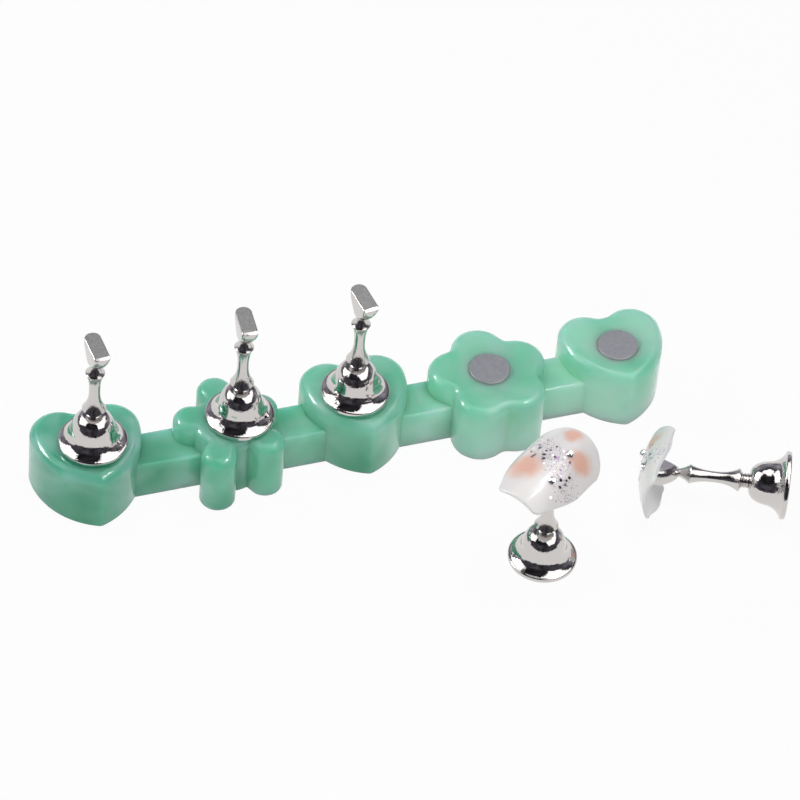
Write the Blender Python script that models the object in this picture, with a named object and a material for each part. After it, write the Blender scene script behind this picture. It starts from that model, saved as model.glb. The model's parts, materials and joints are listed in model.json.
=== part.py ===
"""Nail practice stand with magnetic nail-tip holders.

A cast resin bar carries five blocks, heart and flower in turn, each with a steel disc let into its top.
Three die-cast holders stand on the first three discs. The fourth stands on the table in front of the bar and
the fifth lies beside it, each with a practice nail tip stuck to its platform.

Metres. X runs along the bar, Y away from the front, Z up. The origin is the middle of the bar's underside.
"""
import math

import bmesh
import bpy
from mathutils import Matrix, Vector
from mathutils.bvhtree import BVHTree

# Clearance between pieces that touch, how far a cutter runs past the face it opens, and the distance under
# which two points are the same point. Edges that turn by more than SHARP_ANGLE degrees look sharp. A point of
# an outline that is moved inwards is kept if it still has KEPT_SHARE of the distance to the whole outline.
SEAT_GAP = 0.0003
CUT_OVERRUN = 0.001
MERGE_DISTANCE = 0.000001
SHARP_ANGLE = 40.0
KEPT_SHARE = 0.985

# Base bar: five blocks at an even pitch, joined by a lower bar.
BLOCK_KINDS = ("heart", "slim_flower", "heart", "broad_flower", "heart")
BLOCK_PITCH = 0.0265
BLOCK_HEIGHT = 0.013
BLOCK_EDGE_RADIUS = 0.0018
BLOCK_EDGE_STEPS = 3
BLOCK_FOOT_RADIUS = 0.0005
BLOCK_FOOT_STEPS = 1
LINK_WIDTH = 0.0086
LINK_HEIGHT = 0.0083
LINK_EDGE_RADIUS = 0.0005

# Hand-poured blocks sit a little off the even pitch: offset along X and Y, turn in degrees and size. Their
# discs keep the pitch. Keys are the blocks' numbers, and a block that isn't named sits true.
BLOCK_SHIFTS = {1: (-0.0007, -0.0002, -1.5, 1.02), 5: (-0.0002, 0.0, 0.0, 0.985)}

# Heart block, seen from above with its point to the front.
HEART_WIDTH = 0.021
HEART_LOBE_RADIUS = 0.0057
HEART_SIDE_RADIUS = 0.015
HEART_BACK_REACH = 0.0101
HEART_NOSE_RADIUS = 0.0014
HEART_CLEFT_RADIUS = 0.0035
HEART_LOBE_STEPS = 11
HEART_SIDE_STEPS = 7
HEART_NOSE_STEPS = 4
HEART_CLEFT_STEPS = 4

# Flower blocks: the second block has slim petals, the fourth broad ones. Angles are from +X, in degrees, and
# each petal has its own share of the reach, because the casting is hand finished and its petals are uneven.
SLIM_PETAL_RADIUS = 0.0035
SLIM_PETAL_REACH = 0.0087
SLIM_CORE_RADIUS = 0.0072
SLIM_PETAL_ANGLES = (91.0, 19.0, -48.0, -117.0, 160.0)
SLIM_REACH_SHARES = (1.0, 0.85, 1.0, 1.02, 0.82)
BROAD_PETAL_RADIUS = 0.0053
BROAD_PETAL_REACH = 0.0068
BROAD_CORE_RADIUS = 0.0086
BROAD_PETAL_ANGLES = (91.0, 19.0, -54.0, -120.0, 162.0)
BROAD_REACH_SHARES = (1.0, 1.0, 1.0, 1.0, 1.0)
FLOWER_FORWARD = 0.0005
FLOWER_STEPS = 60
FLOWER_BLEND = 12.0

# Magnet discs let into the blocks, and the magnets glued into the holders' feet.
DISC_RADIUS = 0.004
DISC_THICKNESS = 0.002
DISC_STEPS = 32
FOOT_MAGNET_RADIUS = 0.004
FOOT_MAGNET_THICKNESS = 0.002

# Holder, turned part, from the foot up.
HOLDER_STEPS = 24
RIM_RADIUS = 0.00664
RIM_THICKNESS = 0.00105
RIM_CHAMFER = 0.0003
FLARE_HEIGHT = 0.0034
FLARE_START = 22.0
FLARE_STEPS = 3
BELL_RADIUS = 0.0043
BELL_HEIGHT = 0.0076
BELL_FULLNESS = 2.5
BELL_STEPS = 5
NECK_RADIUS = 0.00125
NECK_RING_RADIUS = 0.0015
NECK_HEIGHT = 0.0011
NECK_RINGS = 2
STEM_FOOT_RADIUS = 0.0023
STEM_FOOT_CHAMFER = 0.0008
STEM_WAIST_RADIUS = 0.00115
STEM_LENGTH = 0.0095
STEM_WAIST_SHARE = 0.5
STEM_STEPS = 6
COLLAR_RADIUS = 0.00188
COLLAR_CHAMFER = 0.0016
PLATFORM_NECK_RADIUS = 0.00095
PLATFORM_NECK_HEIGHT = 0.0003

# Holder platform: a half-moon plate with a flat top and a round belly. Its front end is fuller, nearly square
# in plan and bevelled, its back end is round. A fullness is 1 for a straight line and 2 for an ellipse.
PLATFORM_BACK_REACH = 0.0033
PLATFORM_FRONT_REACH = 0.00405
PLATFORM_WIDTH = 0.0032
PLATFORM_DEPTH = 0.0052
PLATFORM_WALL = 0.0003
PLATFORM_BEVEL_LENGTH = 0.0008
PLATFORM_BACK_FULLNESS = 1.2
PLATFORM_FRONT_FULLNESS = 1.7
PLATFORM_BACK_RADIUS = 0.0014
PLATFORM_FRONT_RADIUS = 0.0006
PLATFORM_ARC_STEPS = 7
PLATFORM_CORNER_STEPS = 4
PLATFORM_BELLY_STEPS = 8

# Nail tip: an arched shell, cut square at the free edge and round at the other end.
NAIL_LENGTH = 0.0211
NAIL_WIDTH = 0.0141
NAIL_TIP_WIDTH = 0.0094
NAIL_THICKNESS = 0.0008
NAIL_ARCH_RADIUS = 0.00775
NAIL_SAG = 0.00127
NAIL_ROUND_LENGTH = 0.0053
NAIL_LENGTH_STEPS = 12
NAIL_WIDTH_STEPS = 12
NAIL_WIDEST_SHARE = 0.66
NAIL_SLOPE_SHARE = 0.02

# Putty pad between platform and nail tip, with its thickness where it is pressed thinnest.
PUTTY_THICKNESS = 0.0003
PUTTY_MARGIN = 0.0003
PUTTY_STEPS = 16

# How each nail tip sits on its platform: offset across and towards the free edge, and its small turns about
# the platform's X, Y and Z in degrees. Keys are the holders' numbers.
NAIL_OFFSETS = {4: (0.0003, -0.0014), 5: (0.0009, -0.0023)}
NAIL_TURNS = {4: (3.0, 5.0, 0.0), 5: (-2.5, 2.3, -1.5)}

# Flat-backed stones on the nail tips. Places are shares of the nail's half length and half width.
STONE_RADIUS = 0.00085
STONE_HEIGHT = 0.0007
STONE_GIRDLE = 0.0002
STONE_SEAT_GAP = 0.0001
STONE_STEPS = 12
STONE_PLACE_SHARES = {"a": (0.36, 0.2), "b": (-0.3, 0.4)}

# Where the holders stand: place of the foot's centre on its disc or on the table, and turn about the stem.
STANDING_OFFSETS = {1: (-0.0003, -0.0004), 2: (0.0022, -0.0007), 3: (-0.001, -0.0002)}
STANDING_TURNS = {1: 3.5, 2: -3.7, 3: 7.1}
TABLE_HOLDER_PLACE = (0.0253, -0.0385)
TABLE_HOLDER_TURN = -55.5
LYING_FOOT_PLACE = (0.075, -0.0382)
LYING_HEADING = 156.8
LYING_ROLL = 197.7
LYING_TILT_LIMIT = 30.0
LYING_TRIES = 40


def clear_scene():
    for item in list(bpy.data.objects):
        bpy.data.objects.remove(item, do_unlink=True)


def make_material(name, colour, roughness, metallic=0.0, transmission=0.0):
    material = bpy.data.materials.new(name)
    material.use_nodes = True
    shader = material.node_tree.nodes["Principled BSDF"]
    shader.inputs["Base Color"].default_value = (*colour, 1.0)
    shader.inputs["Roughness"].default_value = roughness
    shader.inputs["Metallic"].default_value = metallic
    shader.inputs["Transmission Weight"].default_value = transmission
    return material


def mesh_from(shape, name):
    """Turns a bmesh into a mesh whose faces point out."""
    bmesh.ops.recalc_face_normals(shape, faces=shape.faces)
    mesh = bpy.data.meshes.new(name)
    shape.to_mesh(mesh)
    shape.free()
    return mesh


def place(name, mesh, material, matrix=None):
    """Adds a named piece that stands at the given matrix."""
    piece = bpy.data.objects.new(name, mesh)
    bpy.context.scene.collection.objects.link(piece)
    piece.matrix_world = matrix or Matrix.Identity(4)
    piece.data.materials.clear()
    piece.data.materials.append(material)
    piece.data.shade_smooth()
    piece.data.set_sharp_from_angle(angle=math.radians(SHARP_ANGLE))
    return piece


def combine(name, body, others):
    """Joins or cuts solids: others is a list of (mesh, operation)."""
    target = bpy.data.objects.new(name, body)
    bpy.context.scene.collection.objects.link(target)
    helpers = []
    for mesh, operation in others:
        helper = bpy.data.objects.new(name + "_helper", mesh)
        bpy.context.scene.collection.objects.link(helper)
        helpers.append(helper)
        modifier = target.modifiers.new(operation.lower(), "BOOLEAN")
        modifier.operation = operation
        modifier.solver = "EXACT"
        modifier.object = helper
    depsgraph = bpy.context.evaluated_depsgraph_get()
    mesh = bpy.data.meshes.new_from_object(target.evaluated_get(depsgraph))
    mesh.name = name
    for item in helpers + [target]:
        bpy.data.objects.remove(item, do_unlink=True)
    return mesh


def arc(centre, radius, start, end, steps):
    """Points on an arc from start to end, angles in radians, both ends included."""
    points = []
    for step in range(steps + 1):
        angle = start + (end - start) * step / steps
        points.append((centre[0] + radius * math.cos(angle), centre[1] + radius * math.sin(angle)))
    return points


def inset_outline(outline, depth):
    """An anticlockwise outline moved inwards. Points that would cross over meet in one point instead."""
    points = [Vector(point) for point in outline]
    count = len(points)
    inner = []
    for index, point in enumerate(points):
        before = (point - points[index - 1]).normalized()
        after = (points[(index + 1) % count] - point).normalized()
        along = (before + after).normalized()
        stretch = before.dot(along) if before.cross(after) > 0.0 else 1.0
        spot = point + Vector((-along.y, along.x)) * depth / stretch
        nearest = depth
        for other in range(count):
            start = points[other - 1]
            side = points[other] - start
            share = min(max((spot - start).dot(side) / side.length_squared, 0.0), 1.0)
            nearest = min(nearest, (start + side * share - spot).length)
        inner.append(spot if nearest >= depth * KEPT_SHARE else None)
    for index in range(count):
        if inner[index] is None:
            back = next(step for step in range(1, count) if inner[index - step] is not None)
            ahead = next(step for step in range(1, count) if inner[(index + step) % count] is not None)
            meeting = (inner[index - back] + inner[(index + ahead) % count]) / 2.0
            for step in range(1 - back, ahead):
                inner[(index + step) % count] = meeting
    return inner


def rounded_block(outline, name):
    """A block raised from Z = 0 with rounded top and bottom edges: a stack of outlines, joined and closed."""
    levels = []
    for step in range(BLOCK_FOOT_STEPS + 1):
        angle = math.pi / 2.0 * step / BLOCK_FOOT_STEPS
        rise = BLOCK_FOOT_RADIUS * (1.0 - math.cos(angle))
        levels.append((BLOCK_FOOT_RADIUS * (1.0 - math.sin(angle)), rise))
    for step in range(BLOCK_EDGE_STEPS + 1):
        angle = math.pi / 2.0 * step / BLOCK_EDGE_STEPS
        drop = BLOCK_EDGE_RADIUS * (1.0 - math.sin(angle))
        levels.append((BLOCK_EDGE_RADIUS * (1.0 - math.cos(angle)), BLOCK_HEIGHT - drop))
    shape = bmesh.new()
    rings = []
    for inset, height in levels:
        verts = [shape.verts.new((point.x, point.y, height)) for point in inset_outline(outline, inset)]
        rings.append([shape.edges.new((verts[index - 1], verts[index])) for index in range(len(verts))])
    for lower, upper in zip(rings, rings[1:]):
        bmesh.ops.bridge_loops(shape, edges=lower + upper)
    bmesh.ops.contextual_create(shape, geom=rings[0])
    bmesh.ops.contextual_create(shape, geom=rings[-1])
    bmesh.ops.remove_doubles(shape, verts=shape.verts, dist=MERGE_DISTANCE)
    return mesh_from(shape, name)


def prism(outline, height, edge_radius=0.0, edge_steps=1, name="prism"):
    """An outline in X and Y raised from Z = 0, with its top edge rounded."""
    shape = bmesh.new()
    bottom = shape.faces.new([shape.verts.new((x, y, 0.0)) for x, y in outline])
    raised = bmesh.ops.extrude_face_region(shape, geom=[bottom])["geom"]
    top_verts = [item for item in raised if isinstance(item, bmesh.types.BMVert)]
    bmesh.ops.translate(shape, vec=(0.0, 0.0, height), verts=top_verts)
    if edge_radius > 0.0:
        rim = [edge for edge in shape.edges if all(vert in top_verts for vert in edge.verts)]
        bmesh.ops.bevel(
            shape, geom=rim, offset=edge_radius, offset_type="OFFSET", segments=edge_steps,
            profile=0.5, affect="EDGES", clamp_overlap=True, material=-1,
        )
    return mesh_from(shape, name)


def turned(profile, steps, name):
    """A solid of revolution about Z from points (radius, height) that start and end on the axis."""
    shape = bmesh.new()
    verts = [shape.verts.new((radius, 0.0, height)) for radius, height in profile]
    edges = [shape.edges.new(pair) for pair in zip(verts, verts[1:])]
    bmesh.ops.spin(
        shape, geom=verts + edges, cent=(0.0, 0.0, 0.0), axis=(0.0, 0.0, 1.0),
        angle=math.tau, steps=steps, use_merge=True, use_duplicate=False,
    )
    bmesh.ops.remove_doubles(shape, verts=shape.verts, dist=MERGE_DISTANCE)
    return mesh_from(shape, name)


def heart_outline():
    """Nose, right side, right lobe, cleft and their mirror images, as one loop that runs anticlockwise."""
    lobe_x = HEART_WIDTH / 2.0 - HEART_LOBE_RADIUS
    lobe_y = HEART_BACK_REACH - HEART_LOBE_RADIUS
    side_x = HEART_WIDTH / 2.0 - HEART_SIDE_RADIUS
    nose_y = lobe_y - math.sqrt((HEART_SIDE_RADIUS - HEART_NOSE_RADIUS) ** 2 - side_x ** 2)
    nose_angle = math.atan2(nose_y - lobe_y, -side_x)
    cleft_y = lobe_y + math.sqrt((HEART_LOBE_RADIUS + HEART_CLEFT_RADIUS) ** 2 - lobe_x ** 2)
    cleft_angle = math.atan2(cleft_y - lobe_y, -lobe_x)
    nose = arc((0.0, nose_y), HEART_NOSE_RADIUS, -math.pi - nose_angle, nose_angle, HEART_NOSE_STEPS)
    side = arc((side_x, lobe_y), HEART_SIDE_RADIUS, nose_angle, 0.0, HEART_SIDE_STEPS)
    lobe = arc((lobe_x, lobe_y), HEART_LOBE_RADIUS, 0.0, cleft_angle, HEART_LOBE_STEPS)
    cleft = arc((0.0, cleft_y), HEART_CLEFT_RADIUS, cleft_angle - math.pi, -cleft_angle, HEART_CLEFT_STEPS)
    right = side[1:] + lobe[1:]
    left = [(-x, y) for x, y in reversed(right)]
    return nose + right + cleft[1:-1] + left


def flower_outline(petal_radius, reach, core_radius, angles, reach_shares):
    """Outline round five petal circles and a core, followed on rays from the flower's middle."""
    outline = []
    for step in range(FLOWER_STEPS):
        ray = math.tau * step / FLOWER_STEPS
        total = core_radius ** FLOWER_BLEND
        for angle, share in zip(angles, reach_shares):
            turn = ray - math.radians(angle)
            miss = reach * share * math.sin(turn)
            if math.cos(turn) > 0.0 and abs(miss) < petal_radius:
                hit = reach * share * math.cos(turn) + math.sqrt(petal_radius ** 2 - miss ** 2)
                total += hit ** FLOWER_BLEND
        distance = total ** (1.0 / FLOWER_BLEND)
        outline.append((distance * math.cos(ray), distance * math.sin(ray) - FLOWER_FORWARD))
    return outline


def block_outline(number, kind):
    """Outline of block 1 to 5 round its disc's middle, with the block's own small shift."""
    if kind == "heart":
        outline = heart_outline()
    elif kind == "slim_flower":
        outline = flower_outline(
            SLIM_PETAL_RADIUS, SLIM_PETAL_REACH, SLIM_CORE_RADIUS, SLIM_PETAL_ANGLES, SLIM_REACH_SHARES)
    else:
        outline = flower_outline(
            BROAD_PETAL_RADIUS, BROAD_PETAL_REACH, BROAD_CORE_RADIUS, BROAD_PETAL_ANGLES, BROAD_REACH_SHARES)
    shift_x, shift_y, turn, size = BLOCK_SHIFTS.get(number, (0.0, 0.0, 0.0, 1.0))
    cosine = math.cos(math.radians(turn)) * size
    sine = math.sin(math.radians(turn)) * size
    return [(x * cosine - y * sine + shift_x, x * sine + y * cosine + shift_y) for x, y in outline]


def block_x(number):
    """Place along the bar of block 1 to 5."""
    return (number - 1 - (len(BLOCK_KINDS) - 1) / 2.0) * BLOCK_PITCH


def shifted(mesh, offset):
    mesh.transform(Matrix.Translation(offset))
    return mesh


def disc_mesh(radius, thickness, name):
    """A plain round disc that stands on Z = 0."""
    outline = arc((0.0, 0.0), radius, 0.0, math.tau, DISC_STEPS)[:-1]
    return prism(outline, thickness, name=name)


def build_base(resin, steel):
    """The cast bar with its pockets, and the five discs glued into them."""
    span = block_x(len(BLOCK_KINDS))
    side = LINK_WIDTH / 2.0
    strip = [(-span, -side), (span, -side), (span, side), (-span, side)]
    link = prism(strip, LINK_HEIGHT, LINK_EDGE_RADIUS, 1, "link")
    pocket_depth = DISC_THICKNESS + SEAT_GAP
    steps = []
    for number, kind in enumerate(BLOCK_KINDS, start=1):
        block = rounded_block(block_outline(number, kind), kind)
        steps.append((shifted(block, (block_x(number), 0.0, 0.0)), "UNION"))
    for number in range(1, len(BLOCK_KINDS) + 1):
        cutter = disc_mesh(DISC_RADIUS + SEAT_GAP, pocket_depth + CUT_OVERRUN, "pocket")
        steps.append((shifted(cutter, (block_x(number), 0.0, BLOCK_HEIGHT - pocket_depth)), "DIFFERENCE"))
    place("base_bar", combine("base_bar", link, steps), resin)
    disc = disc_mesh(DISC_RADIUS, DISC_THICKNESS, "base_disc")
    for number in range(1, len(BLOCK_KINDS) + 1):
        spot = (block_x(number), 0.0, BLOCK_HEIGHT - DISC_THICKNESS)
        place("base_disc_%d" % number, disc, steel, Matrix.Translation(spot))


def stem_heights():
    """Heights of the stem's foot, its collar, and the platform's neck, underside and top above the sole."""
    foot = BELL_HEIGHT + NECK_HEIGHT + STEM_FOOT_CHAMFER
    collar = foot + STEM_LENGTH
    neck = collar + COLLAR_CHAMFER
    bottom = neck + PLATFORM_NECK_HEIGHT
    return foot, collar, neck, bottom, bottom + PLATFORM_DEPTH + PLATFORM_WALL


def holder_profile():
    """Points (radius, height) round the turned part, from the magnet pocket's roof to the platform's neck."""
    foot, collar, neck, bottom = stem_heights()[:4]
    pocket_roof = FOOT_MAGNET_THICKNESS + SEAT_GAP
    pocket_radius = FOOT_MAGNET_RADIUS + SEAT_GAP
    flange_radius = RIM_RADIUS - RIM_CHAMFER
    profile = [(0.0, pocket_roof), (pocket_radius, pocket_roof), (pocket_radius, 0.0), (flange_radius, 0.0)]
    profile += [(RIM_RADIUS, RIM_CHAMFER), (RIM_RADIUS, RIM_THICKNESS - RIM_CHAMFER)]
    start = math.radians(FLARE_START)
    for step in range(FLARE_STEPS + 1):
        angle = start + (math.pi / 2.0 - start) * step / FLARE_STEPS
        spread = (1.0 - math.sin(angle)) / (1.0 - math.sin(start))
        sink = math.cos(angle) / math.cos(start)
        radius = BELL_RADIUS + (flange_radius - BELL_RADIUS) * spread
        profile.append((radius, FLARE_HEIGHT - (FLARE_HEIGHT - RIM_THICKNESS) * sink))
    for step in range(1, BELL_STEPS + 1):
        angle = math.pi / 2.0 * step / BELL_STEPS
        spread = max(math.cos(angle), 0.0) ** (2.0 / BELL_FULLNESS)
        height = FLARE_HEIGHT + (BELL_HEIGHT - FLARE_HEIGHT) * math.sin(angle) ** (2.0 / BELL_FULLNESS)
        profile.append((NECK_RADIUS + (BELL_RADIUS - NECK_RADIUS) * spread, height))
    for ring in range(NECK_RINGS):
        start = BELL_HEIGHT + NECK_HEIGHT * ring / NECK_RINGS
        profile.append((NECK_RING_RADIUS, start + NECK_HEIGHT / NECK_RINGS / 2.0))
        profile.append((NECK_RADIUS, start + NECK_HEIGHT / NECK_RINGS))
    waist = foot + STEM_LENGTH * STEM_WAIST_SHARE
    for step in range(STEM_STEPS + 1):
        height = foot + STEM_LENGTH * step / STEM_STEPS
        end_radius, end = (STEM_FOOT_RADIUS, foot) if height < waist else (COLLAR_RADIUS, collar)
        swell = ((height - waist) / (end - waist)) ** 2
        profile.append((STEM_WAIST_RADIUS + (end_radius - STEM_WAIST_RADIUS) * swell, height))
    profile.append((PLATFORM_NECK_RADIUS, neck))
    profile.append((PLATFORM_NECK_RADIUS, bottom + PLATFORM_WIDTH / 2.0))
    profile.append((0.0, bottom + PLATFORM_WIDTH / 2.0))
    return profile


def hull_curve(reach, fullness, start, end):
    """Points on a quarter of the platform's underside, below the level of its wall, both ends included."""
    power = 2.0 / fullness
    points = []
    for y, z in arc((0.0, 0.0), 1.0, start, end, PLATFORM_ARC_STEPS):
        points.append((math.copysign(reach * abs(y) ** power, y), -PLATFORM_DEPTH * abs(z) ** power))
    return points


def platform_mesh():
    """The half-moon plate is what its side view, its plan and its front view share when each is raised."""
    bottom, top = stem_heights()[3:]
    wall = top - PLATFORM_WALL
    half_width = PLATFORM_WIDTH / 2.0
    quarter = math.pi / 2.0
    front = hull_curve(PLATFORM_FRONT_REACH, PLATFORM_FRONT_FULLNESS, -2.0 * quarter, -quarter)
    back = hull_curve(PLATFORM_BACK_REACH, PLATFORM_BACK_FULLNESS, -quarter, 0.0)
    side = [(y, wall + z) for y, z in front + back[1:]]
    side += [(PLATFORM_BACK_REACH, top), (PLATFORM_BEVEL_LENGTH - PLATFORM_FRONT_REACH, top)]
    plate = prism(side, PLATFORM_WIDTH, name="plate")
    plate.transform(Matrix((
        (0.0, 0.0, 1.0, -half_width),
        (1.0, 0.0, 0.0, 0.0),
        (0.0, 1.0, 0.0, 0.0),
        (0.0, 0.0, 0.0, 1.0),
    )))
    back_x = half_width - PLATFORM_BACK_RADIUS
    back_y = PLATFORM_BACK_REACH - PLATFORM_BACK_RADIUS
    front_x = half_width - PLATFORM_FRONT_RADIUS
    front_y = PLATFORM_FRONT_RADIUS - PLATFORM_FRONT_REACH
    steps = PLATFORM_CORNER_STEPS
    plan = arc((back_x, back_y), PLATFORM_BACK_RADIUS, 0.0, quarter, steps)
    plan += arc((-back_x, back_y), PLATFORM_BACK_RADIUS, quarter, 2.0 * quarter, steps)
    plan += arc((-front_x, front_y), PLATFORM_FRONT_RADIUS, 2.0 * quarter, 3.0 * quarter, steps)
    plan += arc((front_x, front_y), PLATFORM_FRONT_RADIUS, 3.0 * quarter, 4.0 * quarter, steps)
    belly = arc((0.0, bottom + half_width), half_width, -math.pi, 0.0, PLATFORM_BELLY_STEPS)
    belly += [(half_width, top + CUT_OVERRUN), (-half_width, top + CUT_OVERRUN)]
    hull = prism(belly, 2.0 * PLATFORM_FRONT_REACH + CUT_OVERRUN, name="hull")
    hull.transform(Matrix((
        (1.0, 0.0, 0.0, 0.0),
        (0.0, 0.0, -1.0, PLATFORM_FRONT_REACH + CUT_OVERRUN / 2.0),
        (0.0, 1.0, 0.0, 0.0),
        (0.0, 0.0, 0.0, 1.0),
    )))
    plan_mesh = prism(plan, top + CUT_OVERRUN, name="plan")
    return combine("platform", plate, [(plan_mesh, "INTERSECT"), (hull, "INTERSECT")])


def holder_mesh():
    body = turned(holder_profile(), HOLDER_STEPS, "holder_body")
    return combine("holder", body, [(platform_mesh(), "UNION")])


def nail_point(along, across):
    """Crown surface of the nail tip: shares from -1 to 1 along (free edge at -1) and across."""
    half_length = NAIL_LENGTH / 2.0
    round_start = half_length - NAIL_ROUND_LENGTH
    end = round_start + NAIL_ROUND_LENGTH * math.sqrt(max(1.0 - across ** 2, 0.0))
    run = (along + 1.0) / 2.0
    y = -half_length + (end + half_length) * run
    widen = min(run / NAIL_WIDEST_SHARE, 1.0)
    half_width = NAIL_TIP_WIDTH / 2.0 + (NAIL_WIDTH - NAIL_TIP_WIDTH) / 2.0 * math.sin(widen * math.pi / 2.0)
    x = across * half_width
    drop = NAIL_ARCH_RADIUS - math.sqrt(max(NAIL_ARCH_RADIUS ** 2 - x ** 2, 0.0))
    drop += NAIL_SAG * (y / half_length) ** 2
    return Vector((x, y, -drop))


def nail_mesh():
    """A grid laid over the nail's crown and given its thickness on the under side."""
    shape = bmesh.new()
    bmesh.ops.create_grid(shape, x_segments=NAIL_WIDTH_STEPS, y_segments=NAIL_LENGTH_STEPS, size=1.0)
    for vert in shape.verts:
        vert.co = nail_point(vert.co.y, vert.co.x)
    shape.normal_update()
    downward = [face for face in shape.faces if face.normal.z < 0.0]
    bmesh.ops.reverse_faces(shape, faces=downward)
    bmesh.ops.solidify(shape, geom=list(shape.faces), thickness=NAIL_THICKNESS)
    return mesh_from(shape, "nail_tip")


def putty_outline():
    """An oval that stays inside the platform's edge."""
    half_width = PLATFORM_WIDTH / 2.0 - PUTTY_MARGIN
    stretch = (PLATFORM_BACK_REACH - PUTTY_MARGIN) / half_width
    circle = arc((0.0, 0.0), half_width, 0.0, math.tau, PUTTY_STEPS)[:-1]
    return [(x, y * stretch) for x, y in circle]


def height_under(nail, matrix, x, y):
    """Height at which a line straight up from the point meets the under side of a nail tip at the matrix."""
    points = [matrix @ vert.co for vert in nail.vertices]
    tree = BVHTree.FromPolygons(points, [face.vertices for face in nail.polygons])
    return tree.ray_cast(Vector((x, y, 0.0)), Vector((0.0, 0.0, 1.0)))[0].z


def nail_seat(number, nail):
    """Place of the nail tip's crown in its holder's own frame, as low as the putty lets it sit."""
    across, along = NAIL_OFFSETS[number]
    pitch, lean, yaw = (math.radians(turn) for turn in NAIL_TURNS[number])
    turns = Matrix.Rotation(yaw, 4, "Z") @ Matrix.Rotation(pitch, 4, "X") @ Matrix.Rotation(lean, 4, "Y")
    raised = Matrix.Translation((across, along, NAIL_LENGTH)) @ turns
    lowest = min(height_under(nail, raised, x, y) for x, y in putty_outline())
    rise = stem_heights()[4] + 2.0 * SEAT_GAP + PUTTY_THICKNESS - lowest
    return Matrix.Translation((0.0, 0.0, rise)) @ raised


def putty_mesh(nail, seat):
    """A flat-bottomed oval pad, its top pressed to the under side of the nail tip, in the holder's frame."""
    bottom = stem_heights()[4] + SEAT_GAP
    shape = bmesh.new()
    shape.from_mesh(prism(putty_outline(), PUTTY_THICKNESS, name="putty_pad"))
    top = max(shape.faces, key=lambda face: face.calc_center_median().z)
    bmesh.ops.poke(shape, faces=[top])
    for vert in shape.verts:
        is_top = vert.co.z > PUTTY_THICKNESS / 2.0
        vert.co.z = height_under(nail, seat, vert.co.x, vert.co.y) - SEAT_GAP if is_top else bottom
    return mesh_from(shape, "putty_pad")


def build_nail(number, holder_matrix, plastic, putty, crystal):
    """Putty pad, nail tip and two stones on the platform of one holder."""
    nail = nail_mesh()
    seat = nail_seat(number, nail)
    nail_matrix = holder_matrix @ seat
    place("putty_pad_%d" % number, putty_mesh(nail, seat), putty, holder_matrix)
    place("nail_tip_%d" % number, nail, plastic, nail_matrix)
    for letter, (along, across) in STONE_PLACE_SHARES.items():
        spot = nail_point(along, across)
        lean_x = nail_point(along, across + NAIL_SLOPE_SHARE) - spot
        lean_y = nail_point(along + NAIL_SLOPE_SHARE, across) - spot
        normal = lean_x.cross(lean_y).normalized()
        rise = spot + normal * STONE_SEAT_GAP
        turn = normal.to_track_quat("Z", "Y").to_matrix().to_4x4()
        name = "stone_%d%s" % (number, letter)
        place(name, stone_mesh(), crystal, nail_matrix @ Matrix.Translation(rise) @ turn)


def stone_mesh():
    """A flat-backed stone: a girdle and a low crown of facets with a table on top."""
    outline = arc((0.0, 0.0), STONE_RADIUS, 0.0, math.tau, STONE_STEPS)[:-1]
    crown = STONE_HEIGHT - STONE_GIRDLE
    return prism(outline, STONE_HEIGHT, crown, 1, "stone")


def lying_matrix(holder, nail, seat):
    """Lays holder and nail on the table: the tilt is the one at which foot and nail both touch it."""
    holder_points = [vert.co.copy() for vert in holder.vertices if vert.co.z < BELL_HEIGHT]
    nail_points = [seat @ vert.co for vert in nail.vertices]
    heading = Matrix.Rotation(math.radians(LYING_HEADING), 4, "Z")
    roll = Matrix.Rotation(math.radians(LYING_ROLL), 4, "Z")
    low = -math.radians(LYING_TILT_LIMIT)
    high = math.radians(LYING_TILT_LIMIT)
    for attempt in range(LYING_TRIES):
        tilt = (low + high) / 2.0
        turn = heading @ Matrix.Rotation(math.pi / 2.0 - tilt, 4, "Y") @ roll
        foot_low = min((turn @ point).z for point in holder_points)
        nail_low = min((turn @ point).z for point in nail_points)
        if nail_low > foot_low:
            high = tilt
        else:
            low = tilt
    height = -min(foot_low, nail_low)
    return Matrix.Translation((*LYING_FOOT_PLACE, height)) @ turn


def build_holder(number, mesh, magnet, matrix, chrome, steel):
    place("holder_%d" % number, mesh, chrome, matrix)
    place("foot_magnet_%d" % number, magnet, steel, matrix)


def standing_matrix(spot, height, turn):
    return Matrix.Translation((*spot, height)) @ Matrix.Rotation(math.radians(turn), 4, "Z")


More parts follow.
